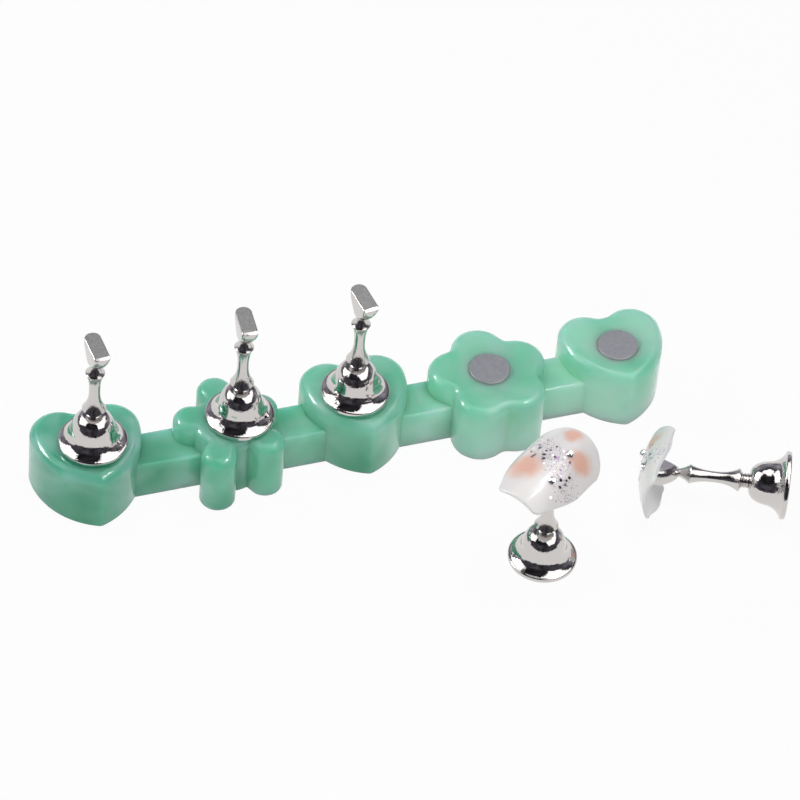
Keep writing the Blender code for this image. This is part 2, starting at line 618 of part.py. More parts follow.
def main():
    clear_scene()
    resin = make_material("cast_resin", (0.16, 0.52, 0.35), 0.25, transmission=0.2)
    steel = make_material("disc_steel", (0.32, 0.33, 0.35), 0.45, metallic=1.0)
    chrome = make_material("plated_zinc", (0.75, 0.74, 0.73), 0.08, metallic=1.0)
    plastic = make_material("nail_plastic", (0.85, 0.83, 0.82), 0.15, transmission=0.3)
    putty = make_material("putty", (0.8, 0.85, 0.88), 0.8)
    crystal = make_material("stone_glass", (0.9, 0.9, 0.95), 0.05, transmission=0.8)
    build_base(resin, steel)
    holder = holder_mesh()
    magnet = disc_mesh(FOOT_MAGNET_RADIUS, FOOT_MAGNET_THICKNESS, "foot_magnet")
    for number, (offset_x, offset_y) in STANDING_OFFSETS.items():
        spot = (block_x(number) + offset_x, offset_y)
        matrix = standing_matrix(spot, BLOCK_HEIGHT + SEAT_GAP, STANDING_TURNS[number])
        build_holder(number, holder, magnet, matrix, chrome, steel)
    table_matrix = standing_matrix(TABLE_HOLDER_PLACE, 0.0, TABLE_HOLDER_TURN)
    build_holder(4, holder, magnet, table_matrix, chrome, steel)
    build_nail(4, table_matrix, plastic, putty, crystal)
    loose_nail = nail_mesh()
    side_matrix = lying_matrix(holder, loose_nail, nail_seat(5, loose_nail))
    build_holder(5, holder, magnet, side_matrix, chrome, steel)
    build_nail(5, side_matrix, plastic, putty, crystal)


main()
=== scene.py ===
"""Looks of the nail practice stand: a jade resin bar with steel discs, and five plated holders for nail tips.

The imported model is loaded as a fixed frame. Each visible piece is then built as a finer mesh in the same place and
given its finish, and a small photo studio is set up round it. Metres throughout, Z up.
"""
import json
import math
import random

import bmesh
import bpy
from mathutils import Matrix, Vector
from mathutils.kdtree import KDTree


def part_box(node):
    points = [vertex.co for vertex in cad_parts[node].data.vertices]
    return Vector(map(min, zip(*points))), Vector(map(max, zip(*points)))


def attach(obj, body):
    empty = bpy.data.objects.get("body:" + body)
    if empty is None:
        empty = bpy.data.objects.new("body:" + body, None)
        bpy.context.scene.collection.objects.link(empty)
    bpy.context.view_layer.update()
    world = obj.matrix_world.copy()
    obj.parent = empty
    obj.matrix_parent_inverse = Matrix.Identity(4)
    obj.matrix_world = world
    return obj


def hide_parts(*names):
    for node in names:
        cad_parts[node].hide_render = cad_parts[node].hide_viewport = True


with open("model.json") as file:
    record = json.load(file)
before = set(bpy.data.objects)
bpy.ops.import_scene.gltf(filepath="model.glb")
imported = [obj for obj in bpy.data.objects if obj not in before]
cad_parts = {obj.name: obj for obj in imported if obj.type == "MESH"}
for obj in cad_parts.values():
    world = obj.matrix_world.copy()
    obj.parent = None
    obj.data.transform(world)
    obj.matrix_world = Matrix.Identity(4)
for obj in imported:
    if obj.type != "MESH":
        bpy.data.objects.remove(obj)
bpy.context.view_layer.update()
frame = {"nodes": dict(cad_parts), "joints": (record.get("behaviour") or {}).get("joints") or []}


# Camera
# A long lens looks down on the stand from its front left, a little tilted, as in a catalogue picture.
CAMERA_TARGET = Vector((0.0085, 0.0, 0.0087))
CAMERA_DISTANCE = 0.9686
CAMERA_AZIMUTH = math.radians(21.77)
CAMERA_ELEVATION = math.radians(46.05)
CAMERA_ROLL = math.radians(5.52)
CAMERA_LENS = 225.0
SENSOR_WIDTH = 36.0

camera_turn = (
    Matrix.Rotation(-CAMERA_AZIMUTH, 4, "Z")
    @ Matrix.Rotation(math.pi / 2.0 - CAMERA_ELEVATION, 4, "X")
    @ Matrix.Rotation(CAMERA_ROLL, 4, "Z")
)


def new_object(name, data):
    """A new object in the scene, at the origin."""
    item = bpy.data.objects.new(name, data)
    bpy.context.scene.collection.objects.link(item)
    return item


camera = new_object("camera", bpy.data.cameras.new("camera"))
camera.matrix_world = Matrix.Translation(CAMERA_TARGET + camera_turn.col[2].xyz * CAMERA_DISTANCE) @ camera_turn
camera.data.lens = CAMERA_LENS
camera.data.sensor_width = SENSOR_WIDTH
camera.data.clip_end = 10.0
bpy.context.scene.camera = camera
bpy.context.scene.view_settings.view_transform = "Standard"


# Studio
# A catalogue set in a dark room, over a white table that ends a little in front of the stand. A softbox hangs close
# on either side, each a wide dim panel with a small hot core, as its cloth shows in the metal.
SOFTBOX_AIM = Vector((0.0, 0.0, 0.02))
# Degrees round from the camera to the left, degrees up, distance, width and height, roll in degrees, radiance.
SOFTBOXES = {
    "left_panel": (95.0, 43.0, 0.46, (0.43, 0.33), -33.0, 1.8),
    "left_core": (98.0, 34.0, 0.42, (0.17, 0.09), -33.0, 19.0),
    "right_core": (-100.0, 67.0, 0.42, (0.12, 0.05), 0.0, 19.0),
}
# Cards above and in front fill the shadows. They don't show in the metal.
BOUNCE_CARDS = {
    "front_bounce": (0.0, 28.0, 0.8, (0.7, 0.4), 0.0, 2.0),
    "top_bounce": (0.0, 88.0, 0.7, (0.7, 0.7), 0.0, 2.0),
}
# The right softbox's panel lies flat under the ceiling. Its place is given rightwards, away from the camera and up.
CEILING_PANEL_PLACE = Vector((0.245, -0.0595, 0.35))
CEILING_PANEL_TURN = -55.0
CEILING_PANEL_SIZE = (0.77, 0.38)
CEILING_PANEL_RADIANCE = 1.8
CORE_LIGHT_SHARE = 0.46
PANEL_LIGHT_SHARE = 0.38
ROOM_FRONT = 0.06
ROOM_BACK = 0.36
ROOM_PATCHES = 2.2
HORIZON_RISE = math.sin(math.radians(6.0))
TABLE_FRONT = 0.12
TABLE_BACK = 2.5
TABLE_SIDE = 2.0
TABLE_DROP = 0.00012
TABLE_GLOW_SHARE = 0.94


def linear(colour):
    """An sRGB hex colour as linear RGBA."""
    shares = [int(colour[start:start + 2], 16) / 255.0 for start in (1, 3, 5)]
    return tuple(share / 12.92 if share <= 0.04045 else ((share + 0.055) / 1.055) ** 2.4 for share in shares) + (1.0,)


def set_up(node, settings=None, links=None):
    """Sets a node's properties and input values, and links its inputs to sockets or to nodes.

    A name stands for the first input in use that is called so, because a Mix node has several called A and B. A node
    that is linked gives its first output in use.
    """
    def place(name):
        return next(socket for socket in node.inputs if socket.enabled and socket.name == name)

    for name, value in (settings or {}).items():
        if isinstance(name, str) and hasattr(node, name):
            setattr(node, name, value)
        else:
            (place(name) if isinstance(name, str) else node.inputs[name]).default_value = value
    for name, source in (links or {}).items():
        if isinstance(source, bpy.types.Node):
            source = next(socket for socket in source.outputs if socket.enabled)
        node.id_data.links.new(source, place(name) if isinstance(name, str) else node.inputs[name])
    return node


def add(owner, kind, settings=None, links=None):
    """Adds a shader node to a material or world, and sets it up."""
    return set_up(owner.node_tree.nodes.new("ShaderNode" + kind), settings, links)


def add_lamp(name, size, radiance, matrix):
    """An even rectangular lamp of a given radiance that shines along its own -Z."""
    lamp = bpy.data.lights.new(name, "AREA")
    lamp.shape = "RECTANGLE"
    lamp.size, lamp.size_y = size
    lamp.energy = radiance * math.pi * lamp.size * lamp.size_y
    lamp_object = new_object(name, lamp)
    lamp_object.matrix_world = matrix
    lamp_object.visible_camera = False
    return lamp_object


def facing_stand(around, above, distance, size, roll, radiance):
    """The size, radiance and place of a panel that hangs round the stand and faces it."""
    heading = -math.pi / 2.0 - CAMERA_AZIMUTH - math.radians(around)
    rise = math.radians(above)
    outward = Vector((math.cos(rise) * math.cos(heading), math.cos(rise) * math.sin(heading), math.sin(rise)))
    turn = outward.to_track_quat("Z", "Y").to_matrix().to_4x4() @ Matrix.Rotation(math.radians(roll), 4, "Z")
    return size, radiance, Matrix.Translation(SOFTBOX_AIM + outward * distance) @ turn


panels = {name: facing_stand(*softbox) for name, softbox in SOFTBOXES.items()}
camera_side = Matrix.Rotation(-CAMERA_AZIMUTH, 4, "Z")
ceiling_turn = camera_side @ Matrix.Rotation(math.radians(CEILING_PANEL_TURN), 4, "Z")
ceiling_place = Matrix.Translation(SOFTBOX_AIM + camera_side @ CEILING_PANEL_PLACE) @ ceiling_turn
panels["right_panel"] = (CEILING_PANEL_SIZE, CEILING_PANEL_RADIANCE, ceiling_place)
for name, (size, radiance, matrix) in panels.items():
    light_share = CORE_LIGHT_SHARE if name.endswith("core") else PANEL_LIGHT_SHARE
    add_lamp(name + "_shine", size, radiance, matrix).visible_diffuse = False
    add_lamp(name + "_light", size, radiance * light_share, matrix).visible_glossy = False
for name, bounce_card in BOUNCE_CARDS.items():
    add_lamp(name, *facing_stand(*bounce_card)).visible_glossy = False

# The room is dim and patchy, darker overhead and on the camera's side, and white to the camera. Low down at the back
# and the sides it is as white as the table, which seems to go on there.
world = bpy.data.worlds.new("studio_room")
bpy.context.scene.world = world
world.use_nodes = True
world.node_tree.nodes.clear()
away = (math.sin(CAMERA_AZIMUTH), math.cos(CAMERA_AZIMUTH), 0.0)
direction = add(world, "TexCoord").outputs["Generated"]
backward = add(world, "VectorMath", {"operation": "DOT_PRODUCT", 1: away}, {0: direction})
shade = add(world, "MapRange", {"From Min": -0.2, "From Max": 1.0, "To Min": ROOM_FRONT, "To Max": ROOM_BACK},
            {"Value": backward})
patches = add(world, "TexNoise", {"Scale": ROOM_PATCHES, "Detail": 2.0}, {"Vector": direction})
patch_level = add(world, "MapRange", {"From Min": 0.35, "From Max": 0.7, "To Min": 0.5, "To Max": 2.2},
                  {"Value": patches})
height = add(world, "SeparateXYZ", links={0: direction}).outputs["Z"]
high_level = add(world, "MapRange", {"From Min": 0.4, "From Max": 0.68, "To Min": 1.0, "To Max": 0.3},
                 {"Value": height})
patchy = add(world, "Math", {"operation": "MULTIPLY"}, {0: shade, 1: patch_level})
dim_room = add(world, "Math", {"operation": "MULTIPLY"}, {0: patchy, 1: high_level})
low = add(world, "Math", {"operation": "LESS_THAN", 1: HORIZON_RISE}, {0: height})
behind = add(world, "Math", {"operation": "GREATER_THAN", 1: -0.3}, {0: backward})
table_edge = add(world, "Math", {"operation": "MULTIPLY"}, {0: low, 1: behind})
seen = add(world, "Math", {"operation": "MAXIMUM"},
           {0: table_edge, 1: add(world, "LightPath").outputs["Is Camera Ray"]})
level = add(world, "Mix", {"B": 1.0}, {"Factor": seen, "A": dim_room})
room_tint = add(world, "Mix", {"data_type": "RGBA", "A": linear("#e5e2f4"), "B": linear("#ffffff")},
                {"Factor": seen})
background = add(world, "Background", links={"Color": room_tint, "Strength": level})
add(world, "OutputWorld", links={"Surface": background})

table_shape = bmesh.new()
bmesh.ops.create_grid(table_shape, x_segments=1, y_segments=1, size=1.0)
for vert in table_shape.verts:
    vert.co = camera_side @ Vector((
        vert.co.x * TABLE_SIDE, TABLE_BACK if vert.co.y > 0.0 else -TABLE_FRONT, -TABLE_DROP))
table_mesh = bpy.data.meshes.new("table")
table_shape.to_mesh(table_mesh)
table_shape.free()
table = new_object("table", table_mesh)

# White card: seen white by the camera and in the metal, and lit as plain card for everything else.
card = bpy.data.materials.new("white_card")
card.use_nodes = True
card.node_tree.nodes.clear()
path = add(card, "LightPath")
shiny = add(card, "Math", {"operation": "MAXIMUM"},
            {0: path.outputs["Is Glossy Ray"], 1: path.outputs["Is Transmission Ray"]})
direct = add(card, "Math", {"operation": "MAXIMUM"}, {0: path.outputs["Is Camera Ray"], 1: shiny})
glow_share = add(card, "Math", {"operation": "MULTIPLY", 1: TABLE_GLOW_SHARE}, {0: direct})
glow = add(card, "Emission", {"Color": linear("#ffffff"), "Strength": 1.0})
matt = add(card, "BsdfDiffuse", {"Color": linear("#f4f4f4")})
card_mix = add(card, "MixShader", links={0: glow_share, 1: matt, 2: glow})
add(card, "OutputMaterial", links={"Surface": card_mix})
table.data.materials.append(card)


# Resin bar
# One casting of cloudy jade-green resin, poured into a soft mould: three hearts and two flowers joined by lower
# links. Its top edges are rounded by the mould, and each block has a round pocket for its disc.
BLOCK_KINDS = ("heart", "slim_flower", "heart", "broad_flower", "heart")
# The end blocks don't sit quite true: shift in X and Y, turn in degrees, and size.
BLOCK_SHIFTS = {1: (-0.0007, -0.0002, -1.5, 1.02), 5: (-0.0002, 0.0, 0.0, 0.985)}
BLOCK_EDGE_RADIUS = 0.0018
BLOCK_FOOT_RADIUS = 0.0005
BLOCK_FOOT_STEPS = 2
LINK_WIDTH = 0.0086
LINK_HEIGHT = 0.0083
LINK_EDGE_RADIUS = 0.0005
HEART_WIDTH = 0.021
HEART_LOBE_RADIUS = 0.0057
HEART_SIDE_RADIUS = 0.015
HEART_BACK_REACH = 0.0101
HEART_NOSE_RADIUS = 0.00143
HEART_CLEFT_RADIUS = 0.0035
HEART_STEPS = {"nose": 12, "side": 28, "lobe": 32, "cleft": 10}
FLOWERS = {
    "slim_flower": {
        "petal_radius": 0.0035, "reach": 0.0087, "core_radius": 0.0072,
        "angles": (91.0, 19.0, -48.0, -117.0, 160.0), "reach_shares": (1.0, 0.85, 1.0, 1.02, 0.82),
    },
    "broad_flower": {
        "petal_radius": 0.0053, "reach": 0.0068, "core_radius": 0.0086,
        "angles": (91.0, 19.0, -54.0, -120.0, 162.0), "reach_shares": (1.0, 1.0, 1.0, 1.0, 1.0),
    },
}
FLOWER_FORWARD = 0.0005
FLOWER_BLEND = 12.0
FLOWER_STEPS = 180
EDGE_STEPS = 7
CIRCLE_STEPS = 72
KEPT_SHARE = 0.985
DISC_RADIUS = 0.004
DISC_THICKNESS = 0.002
GLUE_GAP = 0.00003
CUT_OVERRUN = 0.001
MERGE_DISTANCE = 0.000001
SHARP_ANGLE = math.radians(38.0)


def middle(node):
    """The middle of a CAD node's box."""
    low_corner, high_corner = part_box(node)
    return (low_corner + high_corner) / 2.0


disc_places = {number: middle("base_disc_%d" % number) for number in range(1, len(BLOCK_KINDS) + 1)}
block_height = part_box("base_bar")[1].z


def arc(centre, radius, start, end, steps):
    """Points on an arc from start to end, angles in radians, both ends included."""
    points = []
    for step in range(steps + 1):
        angle = start + (end - start) * step / steps
        points.append((centre[0] + radius * math.cos(angle), centre[1] + radius * math.sin(angle)))
    return points


def circle(radius):
    return arc((0.0, 0.0), radius, 0.0, math.tau, CIRCLE_STEPS)[:-1]


def heart_outline():
    """Nose, right side, right lobe, cleft and their mirror images, as one loop that runs anticlockwise."""
    lobe_x = HEART_WIDTH / 2.0 - HEART_LOBE_RADIUS
    lobe_y = HEART_BACK_REACH - HEART_LOBE_RADIUS
    side_x = HEART_WIDTH / 2.0 - HEART_SIDE_RADIUS
    nose_y = lobe_y - math.sqrt((HEART_SIDE_RADIUS - HEART_NOSE_RADIUS) ** 2 - side_x ** 2)
    nose_angle = math.atan2(nose_y - lobe_y, -side_x)
    cleft_y = lobe_y + math.sqrt((HEART_LOBE_RADIUS + HEART_CLEFT_RADIUS) ** 2 - lobe_x ** 2)
    cleft_angle = math.atan2(cleft_y - lobe_y, -lobe_x)
    nose = arc((0.0, nose_y), HEART_NOSE_RADIUS, -math.pi - nose_angle, nose_angle, HEART_STEPS["nose"])
    side = arc((side_x, lobe_y), HEART_SIDE_RADIUS, nose_angle, 0.0, HEART_STEPS["side"])
    lobe = arc((lobe_x, lobe_y), HEART_LOBE_RADIUS, 0.0, cleft_angle, HEART_STEPS["lobe"])
    cleft = arc((0.0, cleft_y), HEART_CLEFT_RADIUS, cleft_angle - math.pi, -cleft_angle, HEART_STEPS["cleft"])
    right = side[1:] + lobe[1:]
    left = [(-x, y) for x, y in reversed(right)]
    return nose + right + cleft[1:-1] + left


def flower_outline(petal_radius, reach, core_radius, angles, reach_shares):
    """Outline round five petal circles and a core, followed on rays from the flower's middle."""
    outline = []
    for step in range(FLOWER_STEPS):
        ray = math.tau * step / FLOWER_STEPS
        total = core_radius ** FLOWER_BLEND
        for angle, share in zip(angles, reach_shares):
            turn = ray - math.radians(angle)
            miss = reach * share * math.sin(turn)
            if math.cos(turn) > 0.0 and abs(miss) < petal_radius:
                hit = reach * share * math.cos(turn) + math.sqrt(petal_radius ** 2 - miss ** 2)
                total += hit ** FLOWER_BLEND
        distance = total ** (1.0 / FLOWER_BLEND)
        outline.append((distance * math.cos(ray), distance * math.sin(ray) - FLOWER_FORWARD))
    return outline


def block_outline(number, kind):
    """Outline of block 1 to 5 round its disc's middle, with the block's own small shift, turn and size."""
    outline = heart_outline() if kind == "heart" else flower_outline(**FLOWERS[kind])
    shift_x, shift_y, turn, size = BLOCK_SHIFTS.get(number, (0.0, 0.0, 0.0, 1.0))
    cosine = math.cos(math.radians(turn)) * size
    sine = math.sin(math.radians(turn)) * size
    return [(x * cosine - y * sine + shift_x, x * sine + y * cosine + shift_y) for x, y in outline]


def inset_outline(outline, depth):
    """An anticlockwise outline moved inwards. Points that would cross over meet in one point instead."""
    points = [Vector(point) for point in outline]
    count = len(points)
    inner = []
    for index, point in enumerate(points):
        before = (point - points[index - 1]).normalized()
        after = (points[(index + 1) % count] - point).normalized()
        along = (before + after).normalized()
        stretch = before.dot(along) if before.cross(after) > 0.0 else 1.0
        spot = point + Vector((-along.y, along.x)) * depth / stretch
        nearest = depth
        for other in range(count):
            start = points[other - 1]
            side = points[other] - start
            share = min(max((spot - start).dot(side) / side.length_squared, 0.0), 1.0)
            nearest = min(nearest, (start + side * share - spot).length)
        inner.append(spot if nearest >= depth * KEPT_SHARE else None)
    for index in range(count):
        if inner[index] is None:
            back = next(step for step in range(1, count) if inner[index - step] is not None)
            ahead = next(step for step in range(1, count) if inner[(index + step) % count] is not None)
            meeting = (inner[index - back] + inner[(index + ahead) % count]) / 2.0
            for step in range(1 - back, ahead):
                inner[(index + step) % count] = meeting
    return inner


def mesh_from(shape, name):
    """Turns a bmesh into a mesh whose faces point out."""
    bmesh.ops.recalc_face_normals(shape, faces=shape.faces)
    mesh = bpy.data.meshes.new(name)
    shape.to_mesh(mesh)
    shape.free()
    return mesh


def lofted(loops, name):
    """A skin over a stack of loops with equally many points, closed at both ends."""
    shape = bmesh.new()
    rings = []
    for loop in loops:
        verts = [shape.verts.new(point) for point in loop]
        rings.append([shape.edges.new((verts[index - 1], verts[index])) for index in range(len(verts))])
    for lower, upper in zip(rings, rings[1:]):
        bmesh.ops.bridge_loops(shape, edges=lower + upper)
    bmesh.ops.contextual_create(shape, geom=rings[0])
    bmesh.ops.contextual_create(shape, geom=rings[-1])
    bmesh.ops.remove_doubles(shape, verts=shape.verts, dist=MERGE_DISTANCE)
    return mesh_from(shape, name)


def rounded_block(outline):
    """A block raised from Z = 0 with rounded top and bottom edges: a stack of outlines."""
    foot = (BLOCK_FOOT_RADIUS, BLOCK_FOOT_RADIUS)
    crown = (BLOCK_EDGE_RADIUS, block_height - BLOCK_EDGE_RADIUS)
    levels = arc(foot, BLOCK_FOOT_RADIUS, -math.pi / 2.0, -math.pi, BLOCK_FOOT_STEPS)
    levels += arc(crown, BLOCK_EDGE_RADIUS, math.pi, math.pi / 2.0, EDGE_STEPS)
    return lofted([[(spot.x, spot.y, up) for spot in inset_outline(outline, inset)] for inset, up in levels], "block")


def raised(outline, height, edge_radius=0.0, both_ends=False):
    """An outline in X and Y raised from Z = 0, with its top edge rounded, or both edges."""
    shape = bmesh.new()
    bottom = shape.faces.new([shape.verts.new((x, y, 0.0)) for x, y in outline])
    lifted = bmesh.ops.extrude_face_region(shape, geom=[bottom])["geom"]
    top_verts = [item for item in lifted if isinstance(item, bmesh.types.BMVert)]
    bmesh.ops.translate(shape, vec=(0.0, 0.0, height), verts=top_verts)
    if edge_radius > 0.0:
        rounded = [edge for edge in shape.edges if all(vert.co.z > height / 2.0 for vert in edge.verts)]
        if both_ends:
            rounded += [edge for edge in shape.edges if all(vert.co.z < height / 2.0 for vert in edge.verts)]
        bmesh.ops.bevel(
            shape, geom=rounded, offset=edge_radius, offset_type="OFFSET", segments=EDGE_STEPS,
            profile=0.5, affect="EDGES", clamp_overlap=True, material=-1,
        )
    return mesh_from(shape, "raised")


def combine(body, others):
    """Joins or cuts meshes: others is a list of (mesh, operation)."""
    target = new_object("target", body)
    helpers = []
    for mesh, operation in others:
        helpers.append(new_object("helper", mesh))
        modifier = target.modifiers.new(operation.lower(), "BOOLEAN")
        modifier.operation = operation
        modifier.solver = "EXACT"
        modifier.object = helpers[-1]
    depsgraph = bpy.context.evaluated_depsgraph_get()
    mesh = bpy.data.meshes.new_from_object(target.evaluated_get(depsgraph))
    for item in helpers + [target]:
        bpy.data.objects.remove(item, do_unlink=True)
    return mesh


def moved(mesh, place):
    mesh.transform(Matrix.Translation(place))
    return mesh


def new_finish(name, settings):
    """A new material, and its shader with these settings."""
    material = bpy.data.materials.new(name)
    material.use_nodes = True
    return material, set_up(material.node_tree.nodes["Principled BSDF"], settings)


def finish_piece(name, mesh, materials, body, nodes, second_faces=()):
    """Adds a finished piece that rides on a body, takes a slot's finish and stands for CAD nodes.

    The faces whose flag in second_faces is true take the second material.
    """
    mesh.materials.clear()
    for material in materials:
        mesh.materials.append(material)
    mesh.shade_smooth()
    mesh.set_sharp_from_angle(angle=SHARP_ANGLE)
    for face, second in zip(mesh.polygons, second_faces):
        face.material_index = int(second)
    piece = new_object(name, mesh)
    weights = piece.modifiers.new("flat_faces_stay_flat", "WEIGHTED_NORMAL")
    weights.keep_sharp = True
    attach(piece, body)
    if nodes:
        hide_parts(*nodes)
    return piece


# Cast epoxy resin with pearl pigment: light goes several millimetres in, and slow pale veils hang in it. Darker
# green pools are painted shade, in the hollows between the blocks and low on their fronts. The colour is paler
# towards the right, and paler still low down on the right. The skin is glossy from the mould, faintly rippled.
CLOUD_SIZE = 0.014
VEIL_SIZE = 0.008
RIPPLE_SIZE = 0.006
RIGHTWARD_PALING_ENDS = (-0.065, 0.06)
LOW_PALING_HEIGHTS = (0.012, 0.003)
SHADE_POOLS = (
    ((-0.058, -0.010, 0.001), 0.013), ((-0.041, -0.004, 0.006), 0.008), ((-0.0265, -0.001, 0.004), 0.009),
    ((-0.029, -0.009, 0.002), 0.007), ((-0.003, -0.009, 0.001), 0.012), ((0.019, 0.0, 0.004), 0.008),
)
POOL_RAGGED = 0.006
jade, jade_shader = new_finish("cast_jade_resin", {
    "Roughness": 0.07, "IOR": 1.53, "Specular IOR Level": 0.45,
    "Subsurface Weight": 1.0, "Subsurface Radius": (0.5, 1.0, 0.85), "Subsurface Scale": 0.009,
})
jade_place = add(jade, "TexCoord").outputs["Object"]
jade_along = add(jade, "SeparateXYZ", links={0: jade_place})
# The colour is paler towards the right, and paler still low down on the right.
rightward_paling = add(jade, "MapRange", {"From Min": RIGHTWARD_PALING_ENDS[0], "From Max": RIGHTWARD_PALING_ENDS[1]}, {"Value": jade_along})
clouds = add(jade, "TexNoise", {"Scale": 1.0 / CLOUD_SIZE, "Detail": 1.0, "Distortion": 1.0}, {"Vector": jade_place})
veils = add(jade, "TexNoise", {"Scale": 1.0 / VEIL_SIZE, "Detail": 1.0, "Distortion": 0.6}, {"Vector": jade_place})
cloud_level = add(jade, "MapRange", {"From Min": 0.3, "From Max": 0.7}, {"Value": clouds})
veil_level = add(jade, "MapRange", {"From Min": 0.42, "From Max": 0.85, "To Max": 0.45}, {"Value": veils})
deep_colour = add(jade, "Mix", {"data_type": "RGBA", "A": linear("#59ad91"), "B": linear("#89dfb9")},
                  {"Factor": rightward_paling})
pale_colour = add(jade, "Mix", {"data_type": "RGBA", "A": linear("#70c1a8"), "B": linear("#bdf2da")},
                  {"Factor": rightward_paling})
low_paling = add(jade, "MapRange", {"From Min": LOW_PALING_HEIGHTS[0], "From Max": LOW_PALING_HEIGHTS[1], "To Max": 0.7},
              {"Value": jade_along.outputs["Z"]})
low_right_paling = add(jade, "Math", {"operation": "MULTIPLY"}, {0: low_paling, 1: rightward_paling})
cloudy = add(jade, "Math", {"operation": "MULTIPLY_ADD", "use_clamp": True, 1: 0.7},
             {0: cloud_level, 2: low_right_paling})
body_colour = add(jade, "Mix", {"data_type": "RGBA"}, {"Factor": cloudy, "A": deep_colour, "B": pale_colour})
veil_colour = add(jade, "Mix", {"data_type": "RGBA", "B": linear("#bfe3dc")}, {"Factor": veil_level, "A": body_colour})
painted_shade_mask = None
# Painted shade: pools of deeper green in the hollows between the blocks and low on the block fronts, where the resin
# lies in shadow.
for pool_centre, pool_radius in SHADE_POOLS:
    apart = add(jade, "VectorMath", {"operation": "DISTANCE", 1: pool_centre}, {0: jade_place})
    ragged = add(jade, "Math", {"operation": "MULTIPLY_ADD", 1: POOL_RAGGED}, {0: clouds, 2: apart})
    pool = add(jade, "MapRange",
               {"interpolation_type": "SMOOTHSTEP", "From Min": pool_radius + POOL_RAGGED / 2.0,
                "From Max": POOL_RAGGED / 2.0, "To Max": 0.88}, {"Value": ragged})
    if painted_shade_mask is not None:
        pool = add(jade, "Math", {"operation": "MAXIMUM"}, {0: painted_shade_mask, 1: pool})
    painted_shade_mask = pool
colour_with_painted_shade = add(jade, "Mix", {"data_type": "RGBA", "B": linear("#2f9a70")},
                    {"Factor": painted_shade_mask, "A": veil_colour})
ripples = add(jade, "TexNoise", {"Scale": 1.0 / RIPPLE_SIZE, "Detail": 1.0}, {"Vector": jade_place})
jade_bump = add(jade, "Bump", {"Strength": 0.3, "Distance": 0.0001}, {"Height": ripples})
set_up(jade_shader, links={"Base Color": colour_with_painted_shade, "Normal": jade_bump})

half_span = disc_places[len(BLOCK_KINDS)].x
half_width = LINK_WIDTH / 2.0
strip = [(-half_span, -half_width), (half_span, -half_width), (half_span, half_width), (-half_span, half_width)]
bar_steps = []
for number, kind in enumerate(BLOCK_KINDS, start=1):
    block = rounded_block(block_outline(number, kind))
    bar_steps.append((moved(block, (disc_places[number].x, 0.0, 0.0)), "UNION"))
pocket_depth = DISC_THICKNESS + GLUE_GAP
for number, place in disc_places.items():
    pocket = raised(circle(DISC_RADIUS + GLUE_GAP), pocket_depth + CUT_OVERRUN)
    bar_steps.append((moved(pocket, (place.x, place.y, block_height - pocket_depth)), "DIFFERENCE"))
bar_mesh = combine(raised(strip, LINK_HEIGHT, LINK_EDGE_RADIUS), bar_steps)
finish_piece("resin_bar", bar_mesh, [jade], "base", ["base_bar"])


# Steel discs
# Punched steel discs, 8 mm across, glued flush into the blocks, each with a slightly broken edge that catches the
# light. The finish is a dull zinc plate.
DISC_EDGE_RADIUS = 0.00012

# Zinc-plated steel, tumbled: its fine grain spreads the light, so that the face looks an even grey with faint clouds.
# The real grain is under 0.1 mm and too fine to show, so it is drawn at 0.25 mm.
GRAIN_SIZE = 0.00025
disc_steel, steel_shader = new_finish("tumbled_plated_steel", {"Metallic": 1.0})
steel_place = add(disc_steel, "TexCoord").outputs["Object"]
steel_grain = add(disc_steel, "TexNoise", {"Scale": 1.0 / GRAIN_SIZE, "Detail": 3.0}, {"Vector": steel_place})
steel_cloud = add(disc_steel, "TexNoise", {"Scale": 0.3 / GRAIN_SIZE, "Detail": 2.0}, {"Vector": steel_place})
steel_tone = add(disc_steel, "Mix", {"data_type": "RGBA", "A": linear("#929498"), "B": linear("#a9abb0")},
                 {"Factor": steel_cloud})
steel_rough = add(disc_steel, "MapRange", {"To Min": 0.38, "To Max": 0.52}, {"Value": steel_grain})
steel_bump = add(disc_steel, "Bump", {"Strength": 0.35, "Distance": 0.00002}, {"Height": steel_grain})
set_up(steel_shader, links={"Base Color": steel_tone, "Roughness": steel_rough, "Normal": steel_bump})

for number, place in disc_places.items():
    disc = raised(circle(DISC_RADIUS), DISC_THICKNESS, DISC_EDGE_RADIUS, both_ends=True)
    moved(disc, (place.x, place.y, block_height - DISC_THICKNESS))
    finish_piece("steel_disc_%d" % number, disc, [disc_steel], "base", ["base_disc_%d" % number])


# Holders
# Small die castings, polished and bright plated: a flared foot, a bell, two neck rings, a waisted stem with a
# collar, and a half-moon platform whose flat top is left matt so that the putty grips it.
HOLDER_TURNS = {1: 3.5, 2: -3.7, 3: 7.1, 4: -55.5, 5: 197.7}
LYING_HOLDER = 5
HOLDER_STEPS = 96
RIM_RADIUS = 0.00664
RIM_THICKNESS = 0.00105
RIM_EDGE_RADIUS = 0.0003
RIM_EDGE_STEPS = 4
FLARE_HEIGHT = 0.0038
FLARE_START = 22.0
FLARE_END = 80.0
FLARE_STEPS = 16
BELL_RADIUS = 0.00437
BELL_BASE = 0.0021
BELL_HEIGHT = 0.0076
BELL_FULLNESS = 2.4
BELL_STEPS = 20
NECK_RADIUS = 0.00125
NECK_RING_RADIUS = 0.0015
NECK_HEIGHT = 0.0011
NECK_RINGS = 2
NECK_RING_STEPS = 6
STEM_FOOT_RADIUS = 0.0023
STEM_FOOT_CHAMFER = 0.0008
STEM_WAIST_RADIUS = 0.00108
STEM_LENGTH = 0.0095
STEM_WAIST_SHARE = 0.5
STEM_STEPS = 30
STEM_SWELL = 2.5
COLLAR_RADIUS = 0.00188
COLLAR_EDGE_RADIUS = 0.00013
COLLAR_EDGE_TURN = math.radians(60.0)
COLLAR_EDGE_STEPS = 5
